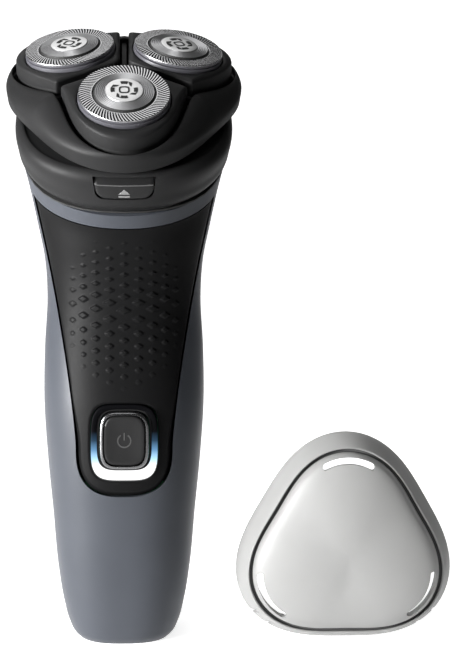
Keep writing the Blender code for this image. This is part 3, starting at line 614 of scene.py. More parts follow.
def grip_relief(x, z):
    """Height of the diamond grip over the panel at each (x, z)."""
    along = BUMP_RADIUS * np.arcsin(np.clip(x / BUMP_RADIUS, -0.999, 0.999))
    relief = np.zeros(len(x))
    for row, column_place, middle, strength in bump_places():
        near = (np.abs(along - column_place) < 2.4) & (np.abs(z - middle) < 1.5)
        if row > 0:
            swell = math.exp(-(row / 1.6) ** 2)
            half_width, half_height = 1.35 + 0.75 * swell, 0.66 + 0.42 * swell
            power = 1.0
        else:
            swell = math.exp(-(row / 1.2) ** 2)
            half_width, half_height = 1.3 + 0.8 * swell, 0.84 + 0.24 * swell
            power = 1.0 + 0.25 * min(1.0, abs(row) / 2)
        scale = 0.75 + 0.25 * strength
        across = (np.abs(along[near] - column_place) / (half_width * scale)) ** power
        up = (np.abs(z[near] - middle) / (half_height * scale)) ** power
        inside = (1 - (across + up) ** (1 / power)) * half_height
        bump = BUMP_HEIGHT * strength * smooth_step(inside / BUMP_HEIGHT)
        relief[near] = np.maximum(relief[near], bump)
    return relief


def well_reach(angle):
    """Distance from the middle of the light loop to the edge of its well, in a direction."""
    width, height = grown(RING_SIZE, GAP)
    across = np.abs(np.cos(angle) / (width / 2)) ** SQUIRCLE_POWER
    up = np.abs(np.sin(angle) / (height / 2)) ** SQUIRCLE_POWER
    return (across + up) ** (-1 / SQUIRCLE_POWER)


def panel_surface(x, z):
    """Points of the panel's outer face, with its chamfered edge, well lip and grip."""
    to_edge = distance_to(np.column_stack([x, z]), panel_edge())
    to_well = np.hypot(x, z - RING_Z) - well_reach(np.arctan2(z - RING_Z, x))
    side_share = smooth_step((z - PANEL_SHOULDER_Z) / 14.0)
    chamfer = PANEL_CHAMFER + (SIDE_CHAMFER - PANEL_CHAMFER) * side_share
    chamfer_depth = PANEL_CHAMFER_DEPTH * chamfer / PANEL_CHAMFER
    relief = grip_relief(x, z) - chamfer_depth * np.clip(1 - to_edge / chamfer, 0.0, 1.0)
    for distance, depth, width in ((to_edge, 0.12, 0.2), (to_well, 0.22, 0.45)):
        relief = relief - depth * (1 - smooth_step(distance / width))
    small = 0.05
    slope_x = (front_y(x + small, z) - front_y(x - small, z)) / (2 * small)
    slope_z = (front_y(x, z + small) - front_y(x, z - small)) / (2 * small)
    share = relief / np.sqrt(slope_x**2 + slope_z**2 + 1)
    return np.column_stack([x + share * slope_x, front_y(x, z) - share, z + share * slope_z])


def in_band(x, z):
    return (z - HEAD_Z) * HEAD_COSINE - (front_y(x, z) - HEAD_Y) * HEAD_SINE > BAND_BOTTOM_H


# Heights at which the handle's front meets the grey band.
PANEL_TOP_X = np.linspace(0.0, 27.0, 109)
PANEL_TOP_Z = halved(100.0, 128.0, lambda z: in_band(PANEL_TOP_X, z), 30)


def sheet_solid(name, outer, depth_y, faces, material, place=Matrix()):
    """A closed shell from an outer sheet and the same sheet moved back by depth_y."""
    count = len(outer)
    back = [(x, y + depth_y, z) for x, y, z in outer]
    both = faces + [tuple(i + count for i in reversed(face)) for face in faces]
    edges = dict.fromkeys(pair for face in faces for pair in zip(face, face[1:] + face[:1]))
    both += [(second, first, first + count, second + count) for first, second in edges
             if (second, first) not in edges]
    return make_piece(name, outer + back, both, [material], place, 40.0)


def make_front_panel():
    """The black panel: a fan of quads round the button's well, and a fine grid above it."""
    borders = np.array([1.7, 1.35, 0.9, 0.45, 0.2, 0.0])
    inner_share = np.linspace(-1, 1, 151)

    def columns(z):
        width = panel_half_width(z)
        edge = width - borders
        return np.concatenate([-edge[::-1], inner_share * (width - 2.0), edge])

    base_row = columns(PANEL_GRID_Z)
    count = len(base_row)
    heights = np.linspace(PANEL_GRID_Z, PANEL_SHOULDER_Z, 30)[1:-1]
    left = list(zip(-panel_half_width(heights), heights))
    right = [(-x, z) for x, z in left[::-1]]
    loop = np.array([(x, PANEL_GRID_Z) for x in base_row[::-1]] + left + foot_outline(100) + right)
    angles = np.arctan2(loop[:, 1] - RING_Z, loop[:, 0])
    reach = well_reach(angles)
    start = np.column_stack([reach * np.cos(angles), RING_Z + reach * np.sin(angles)])
    shares = [0.0, 0.02, 0.05, *np.linspace(0.09, 0.7, 10), *np.linspace(0.74, 1.0, 12)]
    fan = [start + share * (loop - start) for share in shares]
    rows = [np.column_stack([base_row, np.full(count, PANEL_GRID_Z)])]
    for share in np.linspace(0.0, 1.0, 206)[1:]:
        z = np.full(count, PANEL_GRID_Z + share * 42.0)
        for _ in range(4):
            centre = z[count // 2]
            x = columns(centre) * panel_half_width(z) / panel_half_width(centre)
            top = np.interp(np.abs(x), PANEL_TOP_X, PANEL_TOP_Z)
            z = PANEL_GRID_Z + share * (top - PANEL_GRID_Z)
        rows.append(np.column_stack([x, z]))
    outer = panel_surface(*np.vstack(fan + rows).T)
    size = len(loop)
    faces = ring_faces(len(fan), size) + grid_faces(len(rows), count, size * len(fan))
    merged_points, faces = merge_points(outer, faces)
    return sheet_solid("front_panel_shell", merged_points, PANEL_WALL, faces, PANEL_BLACK)


def merge_points(points, faces):
    """Joins points that share a place, and drops faces that this closes up."""
    kept = {}
    keys = [tuple(round(value, 4) for value in point) for point in points]
    for key, point in zip(keys, points):
        kept.setdefault(key, (len(kept), tuple(point)))
    rings = [tuple(dict.fromkeys(kept[keys[i]][0] for i in face)) for face in faces]
    return [point for _, point in kept.values()], [ring for ring in rings if len(ring) > 2]


def make_housing():
    """The grey shell with the grey band round its rim, open where the front panel sits."""
    outside = handle_rings([*np.linspace(0, 4, 12), *np.linspace(4, RIM_Z, 130)[1:]])
    inside = handle_rings(np.linspace(FLOOR_Z, RIM_Z, 40)[::-1], HANDLE_WALL)
    housing = joined_rings("grey_housing_shell", outside + inside, GREY_PAINT)
    edge = np.array(panel_edge(126.0))
    step = np.gradient(edge, axis=0)
    outwards = np.column_stack([step[:, 1], -step[:, 0]]) / np.hypot(*step.T)[:, None]
    window = cutter(along_y(edge + PANEL_GAP * outwards, -60.0, 2.0), Matrix())
    cut(window, cutter(along_z(box_outline(60, -80, 60), BAND_BOTTOM_H + GAP, 60.0)))
    cut(housing, window)
    inlet = box_outline(SOCKET_HALF[0], SOCKET_Y - SOCKET_HALF[1], SOCKET_Y + SOCKET_HALF[1])
    cut(housing, cutter(along_z(inlet, -5.0, 6.0), Matrix()))
    shade(housing.data, 32.0)
    return housing


# --- Button and light

def squircle_rings(layers, centre_z):
    """Rings round the button's middle from (size, y) layers."""
    rings = []
    for (width, height), y in layers:
        outline = even_superellipse(width / 2, height / 2, height / 2, SQUIRCLE_POWER, 128)
        rings.append([(x, y, z + centre_z) for x, z in outline])
    return rings


def make_button():
    """The button's shallow dished face, its rounded edge and the flange that holds it in."""
    inner = grown(BUTTON_SIZE, -1.0)
    dish = ((-4.6, 0.34), (-2.6, 0.27), (-1.2, 0.14), (-0.55, 0.08), (-0.25, 0.14), (-0.06, 0.35), (0, 0.7))
    layers = [(grown(inner, amount), BUTTON_FACE_Y + depth) for amount, depth in dish]
    layers += [(inner, -18.4), (BUTTON_SIZE, -18.4), (BUTTON_SIZE, -16.8)]
    return joined_rings("button_key", squircle_rings(layers, BUTTON_Z), BUTTON_BLACK)


def make_power_symbol():
    """A broken ring and a short bar, raised a hair above the button's face."""
    half_line = 0.17
    open_half = 32.0
    front, back = BUTTON_FACE_Y + 0.26, BUTTON_FACE_Y + 0.5
    lines = [[(x, y, BUTTON_Z + z) for x, z in arc(1.72 + side, 90 + open_half, 450 - open_half, 44)]
             for side, y in box_outline(half_line, front, back)]
    bar = box_outline(half_line, BUTTON_Z + 0.15, BUTTON_Z + 2.15)
    solids = (ring_solid(list(zip(*lines))), ring_solid(along_y(bar, front, back)))
    return make_piece("power_symbol", *merged(solids), [ICON_GREY])


def make_bezel():
    """A bright ring whose front slopes outwards all the way round."""
    edge_y = BUTTON_FACE_Y + BEZEL_DROP
    layers = [(BUTTON_SIZE, BEZEL_BACK_Y), (BUTTON_SIZE, edge_y)]
    for across, rise in arc(1.0, 0, 90, 6)[1:]:
        layers.append((grown(BUTTON_SIZE, -BEZEL_WIDTH * (1 - across)), edge_y - BEZEL_DROP * rise))
    layers.append((grown(BUTTON_SIZE, -BEZEL_WIDTH), BEZEL_BACK_Y))
    return joined_rings("bezel_ring", squircle_rings(layers, BUTTON_Z), CHROME, closed=True, sharp=70.0)


def make_light_guide():
    """The lit loop, thin at its sides and thick at its foot."""
    face = RING_FACE_Y
    outer = [(RING_SIZE, RING_BACK_Y), (RING_SIZE, face + 0.25),
             (grown(RING_SIZE, -0.1), face + 0.07), (grown(RING_SIZE, -0.3), face)]
    inner = [(grown(LIT_HOLE_SIZE, 0.15), face), (LIT_HOLE_SIZE, face + 0.15), (LIT_HOLE_SIZE, RING_BACK_Y)]
    rings = squircle_rings(outer, RING_Z) + squircle_rings(inner, LIT_HOLE_Z)
    return joined_rings("light_ring", rings, LIGHT_GUIDE, closed=True, sharp=50.0)


def make_guide_sill():
    """The dark step between the lit loop and the button's bright rim."""
    face = RING_FACE_Y + 0.35
    hole = grown(BUTTON_SIZE, GAP)
    outer = squircle_rings([(LIT_HOLE_SIZE, RING_BACK_Y), (LIT_HOLE_SIZE, face)], LIT_HOLE_Z)
    inner = squircle_rings([(hole, face), (hole, RING_BACK_Y)], BUTTON_Z)
    return joined_rings("guide_sill", outer + inner, HEAD_BLACK, closed=True)


# --- Collar and release button

def collar_front_v(x, h):
    """V of the collar's front surface at (x, h)."""
    _, half_width, front, _, power = smooth_curve(COLLAR_SECTIONS, [h])[0]
    return -front * (1 - (abs(x) / half_width) ** power) ** (1 / power)


def release_outline(margin):
    """Points (x, h): straight top, sides that draw in, and round lower corners."""
    half = RELEASE_SIZE[0] / 2 + margin
    top = RELEASE_LOW_H + RELEASE_SIZE[1] + margin
    low = RELEASE_LOW_H - margin
    radius = RELEASE_CORNER
    draw_in = RELEASE_DRAW_IN * (1 - radius / RELEASE_SIZE[1])
    reach = half - draw_in - radius
    right = [(half, top), (half - draw_in / 2, (top + low + radius) / 2)]
    right += [(reach + x, low + radius + h) for x, h in arc(radius, 0, -90, 10)]
    foot = [(x, low) for x in np.linspace(reach, -reach, 13)[1:-1]]
    flat_top = [(x, top) for x in np.linspace(-half, half, 17)[1:-1]]
    return right + foot + [(-x, h) for x, h in right[::-1]] + flat_top


def knuckle_bar(start, end, radius):
    half_step = 180 / 32
    section = arc(radius, half_step, 360 + half_step, 32)[:-1]
    return cutter([[(x, HINGE_V + v, HINGE_H + h) for v, h in section] for x in (start, end)])


def make_collar():
    """The collar's wall, with a rounded shoulder that turns in over the chamber's edge."""
    wall_heights = [-27.2, -26.8, -26.0, -25.4, -25.1, *np.linspace(-24.4, SHOULDER_H, 12)]
    outside = [(h, 0.0) for h in wall_heights]
    for across, rise in arc(1.0, 0, 90, 10)[1:]:
        outside.append((SHOULDER_H + (COLLAR_TOP_H - SHOULDER_H) * rise, SHOULDER_REACH * (1 - across)))
    outside += [(COLLAR_TOP_H - 0.15, SHOULDER_REACH), (COLLAR_TOP_H - 0.2, COLLAR_WALL + 0.2)]
    profile = [(h, inset, inset * BACK_SHOULDER_SHARE) for h, inset in outside]
    profile += [(h, COLLAR_WALL, COLLAR_WALL) for h in (-16.2, *wall_heights[::-1])]
    rings = []
    for h, inset, back_inset in profile:
        _, half_width, front, back, power = smooth_curve(COLLAR_SECTIONS, [h])[0]
        outline = even_superellipse(half_width - inset, front - inset, back - back_inset, power)
        rings.append([(x, v, h) for x, v in outline])
    collar = joined_rings("collar_shell", rings, HEAD_BLACK, HEAD, closed=True)
    for start in (-8.2, 5.2):
        cut(collar, knuckle_bar(start, start + 3.0, KNUCKLE_RADIUS), "UNION")
    cut(collar, knuckle_bar(-5.0, 5.0, KNUCKLE_RADIUS + KNUCKLE_GAP))
    cut(collar, cutter(along_y(release_outline(GAP), -40.0, -24.0)))
    shade(collar.data, 30.0)
    return collar


def release_half_width(h):
    """Half the release button's width at each height: drawn-in sides and round lower corners."""
    corner = RELEASE_CORNER
    rise = h - RELEASE_LOW_H
    draw_in = RELEASE_DRAW_IN * (1 - rise / RELEASE_SIZE[1])
    left_over = max(0.0, corner - rise)
    return RELEASE_SIZE[0] / 2 - draw_in - corner + math.sqrt(corner**2 - left_over**2)


def make_release_button():
    """The button's face, following the collar; its top leans back above its edge line."""
    low = RELEASE_LOW_H
    heights = [*(low + rise for rise in (0.02, 0.1, 0.25, 0.5, 0.9, 1.4, 2.0)), RELEASE_H,
               RIDGE_H - 0.2, RIDGE_H, RIDGE_H + 0.3, RIDGE_H + 1.1, low + RELEASE_SIZE[1]]
    columns = 33
    edge_width = 0.12
    points = []
    for h in heights:
        half = release_half_width(h)
        foot = 0.3 * math.exp(-(h - low) / edge_width)
        lean = RELEASE_LEAN * max(0.0, h - RIDGE_H)
        for share in np.linspace(-1, 1, columns):
            side = 0.25 * math.exp(-half * (1 - abs(share)) / edge_width)
            x = half * share
            points.append((x, collar_front_v(x, h) - 0.12 + max(foot, side) + lean, h))
    faces = grid_faces(len(heights), columns)
    return sheet_solid("release_key", points, RELEASE_DEPTH, faces, BUTTON_BLACK, HEAD)


def make_release_ridge():
    """The thin bent edge line along the top of the release button: a real ridge, in a lighter grey that
    paints a highlight on it.
    """
    section = ((-0.02, -0.14), (-0.17, -0.06), (-0.16, 0.05), (0.05, 0.14))
    rings = []
    for x in np.linspace(-RIDGE_HALF, RIDGE_HALF, 33):
        front = collar_front_v(x, RIDGE_H)
        rings.append([(x, front + v, RIDGE_H + h) for v, h in section])
    return joined_rings("release_ridge", rings, RIDGE_HIGHLIGHT_GREY, HEAD)


def make_release_symbol():
    """A triangle over a bar, on the release button's face."""
    half = 1.45
    middle = RELEASE_H - 1.4
    triangle = [(-half, middle + 0.1), (half, middle + 0.1), (0.0, middle + 1.55)]
    bar = box_outline(half, middle - 0.85, middle - 0.35)
    solids = [ring_solid([[(x, collar_front_v(x, h) + depth, h) for x, h in shape]
                          for depth in (-0.24, -0.05)]) for shape in (triangle, bar)]
    return make_piece("release_symbol", *merged(solids), [PRINT_GREY], HEAD)


# --- Cowl and lobes

def towards_end(phase):
    return (1 + math.cos(math.radians(3 * phase))) / 2


def seam_radius(phase):
    return SEAM_CORNER_RADIUS + (SEAM_END_RADIUS - SEAM_CORNER_RADIUS) * towards_end(phase) ** 1.1


def seam_height(phase):
    return SEAM_CORNER_H + (SEAM_END_H - SEAM_CORNER_H) * towards_end(phase) ** 0.6


def cowl_profile(phase):
    """The cowl's section at one angle, from the seam round the outside and back inside."""
    rim = seam_radius(phase) + SEAM_GAP
    top = seam_height(phase)
    widest = COWL_RADIUS * (1 + COWL_ROUNDNESS * math.cos(math.radians(3 * phase)))
    profile = [(rim, top - 0.4), (rim + 0.08, top - 0.16), (rim + 0.22, top - 0.04)]
    for fall, across in arc(1.0, 0, 90, 18):
        profile.append((rim + 0.35 + (widest - rim - 0.35) * across**COWL_FLATNESS,
                        COWL_WIDEST_H + (top - COWL_WIDEST_H) * fall**COWL_FLATNESS))
    drop = FRONT_CREASE_DROP * towards_end(phase)
    # Inset, height, and how much of the front crease's drop each point of the lower edge takes.
    lower = ((0.02, -10.9, 0.0), (0.12, -11.7, 0.0), (0.25, -12.4, 0.5), (0.36, -12.95, 1.0),
             (0.5, -13.1, 1.0), (1.1, -13.8, 0.75), (1.7, -14.6, 0.25), (2.1, COWL_BOTTOM_H, 0.0),
             (3.8, COWL_BOTTOM_H, 0.0))
    profile += [(widest - inset, height - share * drop) for inset, height, share in lower]
    hollow = widest - 1.5
    hollow_h = -11.2
    ceiling = top - 1.8
    profile += [(hollow, hollow_h), (rim + 0.7 * (hollow - rim), hollow_h + 0.7 * (ceiling - hollow_h)),
                (rim, ceiling)]
    return profile


def make_cowl():
    """The frame round the lobes, with the bars between them and its share of the hinge."""
    profiles = [cowl_profile((degree + 60) % 120 - 60) for degree in range(360)]
    rings = [[(*polar(radius, degree + LOBE_ANGLES[0]), height)
              for degree, (radius, height) in enumerate(row)] for row in zip(*profiles)]
    cowl = joined_rings("cowl_shell", rings, HEAD_BLACK, HEAD, closed=True)
    cut(cowl, make_spider(), "UNION")
    cut(cowl, knuckle_bar(-4.8, 4.8, KNUCKLE_RADIUS), "UNION")
    for start in (-8.5, 4.95):
        cut(cowl, knuckle_bar(start, start + 3.55, KNUCKLE_RADIUS + KNUCKLE_GAP))
    shade(cowl.data, 28.0)
    return cowl


def make_spider():
    """The three bars that meet in the middle, in the gaps between the lobes."""
    half = 0.6
    reach = 20.6
    outline = []
    for arm in (90.0, 210.0, 330.0):
        x, v = polar(reach, arm)
        side_x, side_v = polar(half, arm + 90.0)
        outline += [(x - side_x, v - side_v), (x + side_x, v + side_v),
                    polar(2 * half / math.sqrt(3), arm + 60.0)]
    return cutter(along_z(outline, -7.2, -5.2))


def lobe_outline():
    """Points (x, outward, is_on_seam) round a lobe, with its corners eased."""
    cosine, sine = polar(1.0, 60.0)
    inset = LOBE_GAP / 2
    start = inset * cosine / sine
    right = []
    for along in np.linspace(start, LOBE_CORNER, 41):
        right.append((along * sine - inset * cosine, along * cosine + inset * sine, False))
    corner = math.degrees(math.atan2(right[-1][0], right[-1][1]))
    for phase in np.linspace(corner, 0.0, 71)[1:]:
        out, x = polar(seam_radius(phase) - SEAM_GAP - LOBE_SEAM_INSET, phase)
        right.append((x, out, True))
    outline = right + [(-x, out, on_seam) for x, out, on_seam in right[-2:0:-1]]
    places = np.array([point[:2] for point in outline])
    # Averaging neighbours over and over rounds the corners.
    for _ in range(7):
        places = (np.roll(places, 1, axis=0) + 2 * places + np.roll(places, -1, axis=0)) / 4
    return [(x, out, point[2]) for (x, out), point in zip(places.tolist(), outline)]


def tilt_place(number):
    """The frame of one lobe: origin on its tilt axis, -Y pointing outwards."""
    angle = LOBE_ANGLES[number - 1]
    return HEAD @ moved(*polar(PIVOT_SPREAD, angle), PIVOT_H) @ turned(angle - LOBE_ANGLES[0], "Z")


def guard_place(number):
    raised = moved(0.0, PIVOT_SPREAD - GUARD_SPREAD, -PIVOT_H)
    return tilt_place(number) @ raised @ turned(GUARD_SPLAY, "X")


def lobe_column(x, out, on_seam):
    """Points (x, outward, height) from the guard's hole over the top, down the side and back."""
    cosine, sine = polar(1.0, GUARD_SPLAY)
    hole = GUARD_RADIUS + 0.45
    reach = math.hypot(x, out - GUARD_SPREAD)
    across, outwards = x / reach, (out - GUARD_SPREAD) / reach
    phase = math.degrees(math.atan2(x, out))
    shoulder = LOBE_WALL + 1.3 * towards_end(phase) if on_seam else LOBE_WALL
    edge = min(shoulder, (reach - hole) * 0.7)
    skirt = min(LOBE_SKIRT_H, seam_height(phase) - 1.3) if on_seam else LOBE_SKIRT_H

    def at(distance, height):
        return (across * distance, GUARD_SPREAD + outwards * distance, height)

    def bore(radius, depth):
        out_there = GUARD_SPREAD + outwards * radius * cosine + depth * sine
        return (across * radius, out_there, depth * cosine - outwards * radius * sine)

    def top(distance):
        return LOBE_TOP - outwards * distance * sine / cosine

    crease = reach - edge
    start = (crease + 0.12, top(crease + 0.12) - 0.07)
    end = (reach, top(reach) - edge * 0.8)
    column = [bore(hole, LOBE_TOP - 0.25), bore(hole + 0.1, LOBE_TOP - 0.07),
              bore(hole + 0.25, LOBE_TOP), at(crease - 0.12, top(crease - 0.12)),
              at(crease, top(crease) - 0.02), at(*start)]
    turns = arc(1.0, SHOULDER_START, 90.0, 8)
    steepest, first = turns[0]
    for fall, along in turns[1:]:
        share = (along - first) / (1 - first)
        drop = (steepest - fall) / steepest
        column.append(at(start[0] + (end[0] - start[0]) * share, start[1] + (end[1] - start[1]) * drop))
    inside = max(reach - LOBE_WALL, hole + 0.35)
    relief = min(SEAM_RELIEF, (reach - inside) * 0.6)
    seam = seam_height(phase) + 0.35 if on_seam else LOBE_TOP - 2.6
    seam = min(seam, end[1] - 0.1)
    return column + [at(reach, seam), at(reach - relief, seam - 0.08), at(reach - relief, skirt),
                     at(inside, skirt), at(inside, top(reach) - 3.6), bore(hole, LOBE_TOP - 4.4)]


def make_lobe(number):
    """A lobe's sloping top, its rounded shoulder and its skirt."""
    columns = [lobe_column(*point) for point in lobe_outline()]
    count = len(columns)
    rings = [[(x, PIVOT_SPREAD - out, height - PIVOT_H) for x, out, height in row] for row in zip(*columns)]
    points, faces = ring_solid(rings, closed=True)
    # Faces low on the skirt, in the seam under the cowl, get the near-black material: painted shade in the
    # gap.
    shadowed = range(len(rings) - 6, len(rings) - 2)
    groups = [int(face[0] // count in shadowed) for face in faces]
    return make_piece(f"lobe_shell_{number}", points, faces, [HEAD_BLACK, PAINTED_SHADE_BLACK],
                      tilt_place(number), 26.0, groups)


# --- Guards

def guard_rows():
    """(radius, height, slot depth) from the disc out to the guard's skirt."""
    rows = [(radius, DISC_HEIGHT, 0.0) for radius in (0.9, 3.0, 4.65)] + [(4.8, 0.88, 0.0)]
    grooves = 6
    for share in np.linspace(0, 1, 37):
        ripple = 0.075 * (math.cos(2 * math.pi * grooves * share) - 1)
        rows.append((4.9 + 2.8 * share, 0.74 - 0.28 * share + ripple, 0.0))
    rows += [(7.84, 0.2, 0.0), (7.96, -0.3, 0.0), (STEP_RADIUS, -0.3, 0.0), (8.3, -0.06, 0.0),
             (8.4, 0.0, 0.0), (SLOT_INNER - 0.04, 0.0, 0.0)]
    rows += [(SLOT_INNER + (SLOT_OUTER - SLOT_INNER) * i / 6, 0.0, SLOT_DEPTH) for i in range(7)]
    rows += [(SLOT_OUTER + 0.03, -0.02, 0.0), (11.73, -0.1, 0.0), (GUARD_RADIUS, -0.26, 0.0),
             (GUARD_RADIUS, -0.9, 0.0)]
    return rows


def make_guard(number):
    """A steel guard: middle disc, turned grooves, and a rim with slanting slots."""
    rows = guard_rows()
    # Where each bar and then each slot's floor begin and end, as shares of a pitch.
    offsets = (0.0, 0.40, 0.44, 0.96)
    per_slot = len(offsets)
    count = SLOT_COUNT * per_slot
    rings = []
    for radius, height, depth in rows:
        share = min(1.0, max(0.0, (radius - SLOT_INNER) / (SLOT_OUTER - SLOT_INNER)))
        ring = []
        for i in range(count):
            turn = 360.0 * (i // per_slot + offsets[i % per_slot]) / SLOT_COUNT + SLOT_SKEW * share
            drop = depth if i % per_slot >= 2 else 0.0
            ring.append((*polar(radius, turn), height - GUARD_SET_IN - drop))
        rings.append(ring)
    rings.append([(x * 0.94, y * 0.94, -0.9) for x, y, _ in rings[-1]])
    points, faces = ring_solid(rings)
    steel, black, disc, grooved, skirt = range(5)
    groups = []
    for (inner, _, inner_depth), (outer, _, outer_depth) in zip(rows, rows[1:]):
        if inner == outer:
            group = skirt
        elif outer < TURNED_RADIUS:
            group = disc if outer < DISC_RADIUS else grooved
        else:
            # The step below the turned cone gets the near-black material: a painted dark ring of shade in
            # the step.
            group = black if outer <= STEP_RADIUS else steel
        # Slot floors and walls get the near-black material: painted shade for the dark seen down the slots.
        deep = inner_depth > 0 and outer_depth > 0
        groups += [black if deep and i % per_slot else group for i in range(count)]
    groups += [steel] * count + [disc, steel]
    return make_piece(f"guard_face_{number}", points, faces,
                      [STEEL, PAINTED_SHADE_BLACK, DISC_STEEL, TURNED_STEEL, LAVENDER],
                      guard_place(number), 30.0, groups)


def make_guard_window(number):
    """Near-black slabs in a guard's middle, painted shade for its openings: a rounded square and eight
    short petals.
    """
    low, high = 0.80, 0.945
    outer, inner = (superellipse(half, half, half, 3.4, 40) for half in (1.4, 0.975))
    square = along_z(outer, low, high) + along_z(inner, high, low)
    solids = [ring_solid(square, closed=True)]
    for petal in range(8):
        half, inner, outer, lean = (9.0, 2.3, 3.5, 18.0) if petal % 2 else (17.0, 2.5, 3.55, 0.0)
        middle = 45.0 * petal
        outline = arc(inner, middle - half, middle + half, 4)
        outline += arc(outer, middle + lean + half, middle + lean - half, 4)
        solids.append(ring_solid(along_z(outline, low, high)))
    return make_piece(f"guard_window_{number}", *merged(solids), [PAINTED_SHADE_BLACK], guard_place(number))


def make_guard_ring(number):
    profile = [(10.9, -4.6), (12.0, -4.6), (12.0, -1.55), (11.95, -1.35), (11.82, -1.24),
               (11.6, -1.2), (10.9, -1.2)]
    rings = [along_z(arc(radius, 0, 360, 160)[:-1], height)[0] for radius, height in profile]
    return joined_rings(f"ring_wall_{number}", rings, LAVENDER, guard_place(number), closed=True)


# --- Cap

def cap_point(degrees, inset):
    """(x, z) on the cap's rounded outline, moved in by inset; 0 degrees points up."""
    radius = CAP_RADIUS * (1 + CAP_ROUNDNESS * math.cos(math.radians(3 * degrees))) - inset
    return polar(radius, degrees)[::-1]


def cap_outline(inset, count=300):
    return [cap_point(360.0 * i / count, inset) for i in range(count)]


def cap_place():
    lowest = min(z for _, z in cap_outline(0.0, 720))
    return moved(CAP_X, CAP_RIM_Y, -lowest)


def make_cap():
    """Flared skirt, recessed step, and a dome with three arc slots and small rim notches."""
    # Sections (inset, depth), from the middle of the dome's inside round the rim to its outside.
    inside = [(25.4, 12.6), (22.4, 12.5), (18.0, 12.1), (15.0, 11.6), (11.5, 10.85), (8.6, 9.7),
              (6.6, 8.7), (5.9, 8.0), (5.6, 6.0), (3.4, 6.0), (2.4, 3.2), (1.4, 0.0)]
    skirt = [(0.0, 0.0), (0.0, 0.5), (0.08, 1.2), (0.25, 1.9), (0.7, 3.2), (1.25, 4.6), (1.9, 6.1),
             (2.6, 7.4), (2.85, 7.8), (3.05, 7.9), (3.25, 7.8)]
    groove = [(3.35, 7.4), (3.4, 6.7), (4.15, 6.7), (4.25, 7.4)]
    dome = [(4.35, 8.1), (4.45, 8.5), (4.7, 8.95), (5.2, 9.5), (6.0, 10.1), (7.2, 10.75),
            (9.0, 11.4), (11.5, 12.15), (14.5, 12.85), (18.0, 13.4), (22.0, 13.8), (25.4, 13.9)]
    rings = [along_y(cap_outline(inset), -depth)[0] for inset, depth in inside + skirt + groove + dome]
    points, faces = ring_solid(rings)
    first = len(inside + skirt)
    # The groove's faces get the darker material: painted shade in the recessed step.
    dark = range(first, first + len(groove) - 1)
    groups = [int(face[0] // len(rings[0]) in dark) for face in faces]
    cap = make_piece("cap_shell", points, faces, [CAP_PLASTIC, CAP_GROOVE_SHADE], cap_place(), 30.0, groups)
    for middle in (0.0, 120.0, 240.0):
        cut(cap, cap_slot(middle))
    for middle in RIM_NOTCH_ANGLES:
        notch = [cap_point(middle + turn, inset)
                 for turn, inset in box_outline(RIM_NOTCH_HALF_ANGLE, *RIM_NOTCH_INSETS)]
        cut(cap, cutter(along_y(notch, -6.4, 1.0), cap_place()))
    shade(cap.data, 30.0)
    return cap


def cap_slot(middle):
    """A cutter for one curved slot with round ends."""
    outer, inner = [], []
    for share in np.linspace(-1, 1, 41):
        ease = max(0.0, (abs(share) - CAP_SLOT_ROUND_FROM) / (1 - CAP_SLOT_ROUND_FROM))
        half = CAP_SLOT_WIDTH / 2 * math.sqrt(max(0.0, 1 - ease**2)) + 0.01
        for line, side in ((outer, -half), (inner, half)):
            line.append(cap_point(middle + CAP_SLOT_HALF_ANGLE * share, CAP_SLOT_INSET + side))
    return cutter(along_y(outer + inner[::-1], -60.0, -4.0), cap_place())


# --- Stage

def make_stage():
    """One pale sweep: a floor that curves up into a backdrop, in metres."""
    half, depth, radius = 3.0, 2.2, 0.8
    curve = [(depth - radius + y, radius - z) for z, y in arc(radius, 0, 90, 12)]
    rows = [(-0.9, 0.0), *curve, (depth, 1.1)]
    points = [(side * half / MM, y / MM, z / MM) for y, z in rows for side in (-1, 1)]
    faces = [(2 * i, 2 * i + 1, 2 * i + 3, 2 * i + 2) for i in range(len(rows) - 1)]
    make_piece("studio_sweep", points, faces, [floor_material()])


def add_light(name, place, target, size, power):
    light = bpy.data.lights.new(name, "AREA")
    light.shape = "RECTANGLE"
    light.size, light.size_y = size
    light.energy = power
    made = add_object(name, light)
    made.location = place
    made.rotation_euler = (Vector(target) - Vector(place)).to_track_quat("-Z", "Y").to_euler()


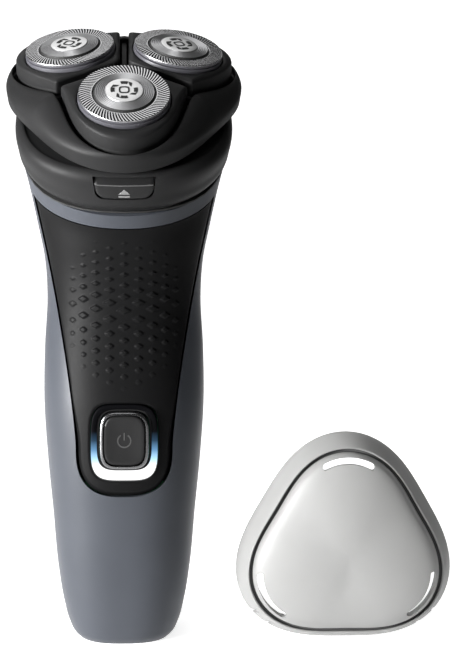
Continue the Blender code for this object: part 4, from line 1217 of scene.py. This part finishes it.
def add_lights():
    add_light("key_left", (-1.04, -0.6, 0.2), (0.0, 0.0, 0.09), (0.55, 0.36), 54.0)
    add_light("top", (-0.1, 0.3, 0.85), (0.0, 0.0, 0.15), (0.6, 0.8), 1.8)
    add_light("front_high", (-0.1, -0.6, 0.95), (0.0, 0.0, 0.09), (0.4, 0.4), 1.3)
    world = bpy.data.worlds.new("studio_air")
    world.use_nodes = True
    set_inputs(world.node_tree.nodes["Background"], {"Color": (1, 1, 1, 1), "Strength": 0.04})
    bpy.context.scene.world = world
    bpy.context.scene.view_settings.view_transform = "Standard"


def add_camera():
    camera = bpy.data.cameras.new("camera")
    camera.lens = CAMERA_LENS
    camera.clip_start = 0.01
    made = add_object("camera", camera)
    made.location = CAMERA_PLACE
    turn = turned(-CAMERA_YAW, "Z") @ turned(90.0 - CAMERA_PITCH, "X") @ turned(CAMERA_ROLL, "Z")
    made.rotation_euler = turn.to_euler()
    bpy.context.scene.camera = made


# --- Build

add_camera()
make_stage()
add_lights()

for subpart in frame["record"]["subparts"]:
    mesh_data = frame["nodes"][subpart["node"]].data
    mesh_data.materials.clear()
    mesh_data.materials.append(NODE_FINISHES[subpart["material_slot"]])
    shade(mesh_data)

stand_for(make_housing(), "handle", "satin_grey", "rear_housing")
stand_for(make_front_panel(), "handle", "satin_black", "front_panel")
stand_for(make_collar(), "handle", "satin_black", "neck_collar")
stand_for(make_light_guide(), "handle", "light_guide", "light_guide")
stand_for(make_guide_sill(), "handle", "light_guide")
stand_for(make_button(), "power_button", "satin_black", "power_button")
stand_for(make_bezel(), "power_button", "dark_chrome", "button_bezel")
stand_for(make_power_symbol(), "power_button", "satin_black")
stand_for(make_release_button(), "release_button", "gloss_black", "release_button")
stand_for(make_release_ridge(), "release_button", "gloss_black")
stand_for(make_release_symbol(), "release_button", "gloss_black")
stand_for(make_cowl(), "shaving_unit", "satin_black", "head_cowl")
for lobe_number in (1, 2, 3):
    body = f"lobe_{lobe_number}"
    stand_for(make_lobe(lobe_number), body, "satin_black", f"head_carrier_{lobe_number}")
    stand_for(make_guard(lobe_number), body, "shaver_steel", f"guard_{lobe_number}")
    stand_for(make_guard_window(lobe_number), body, "gloss_black")
    stand_for(make_guard_ring(lobe_number), body, "guard_ring_plastic", f"guard_ring_{lobe_number}")
stand_for(make_cap(), "protective_cap", "cap_plastic", "protective_cap")
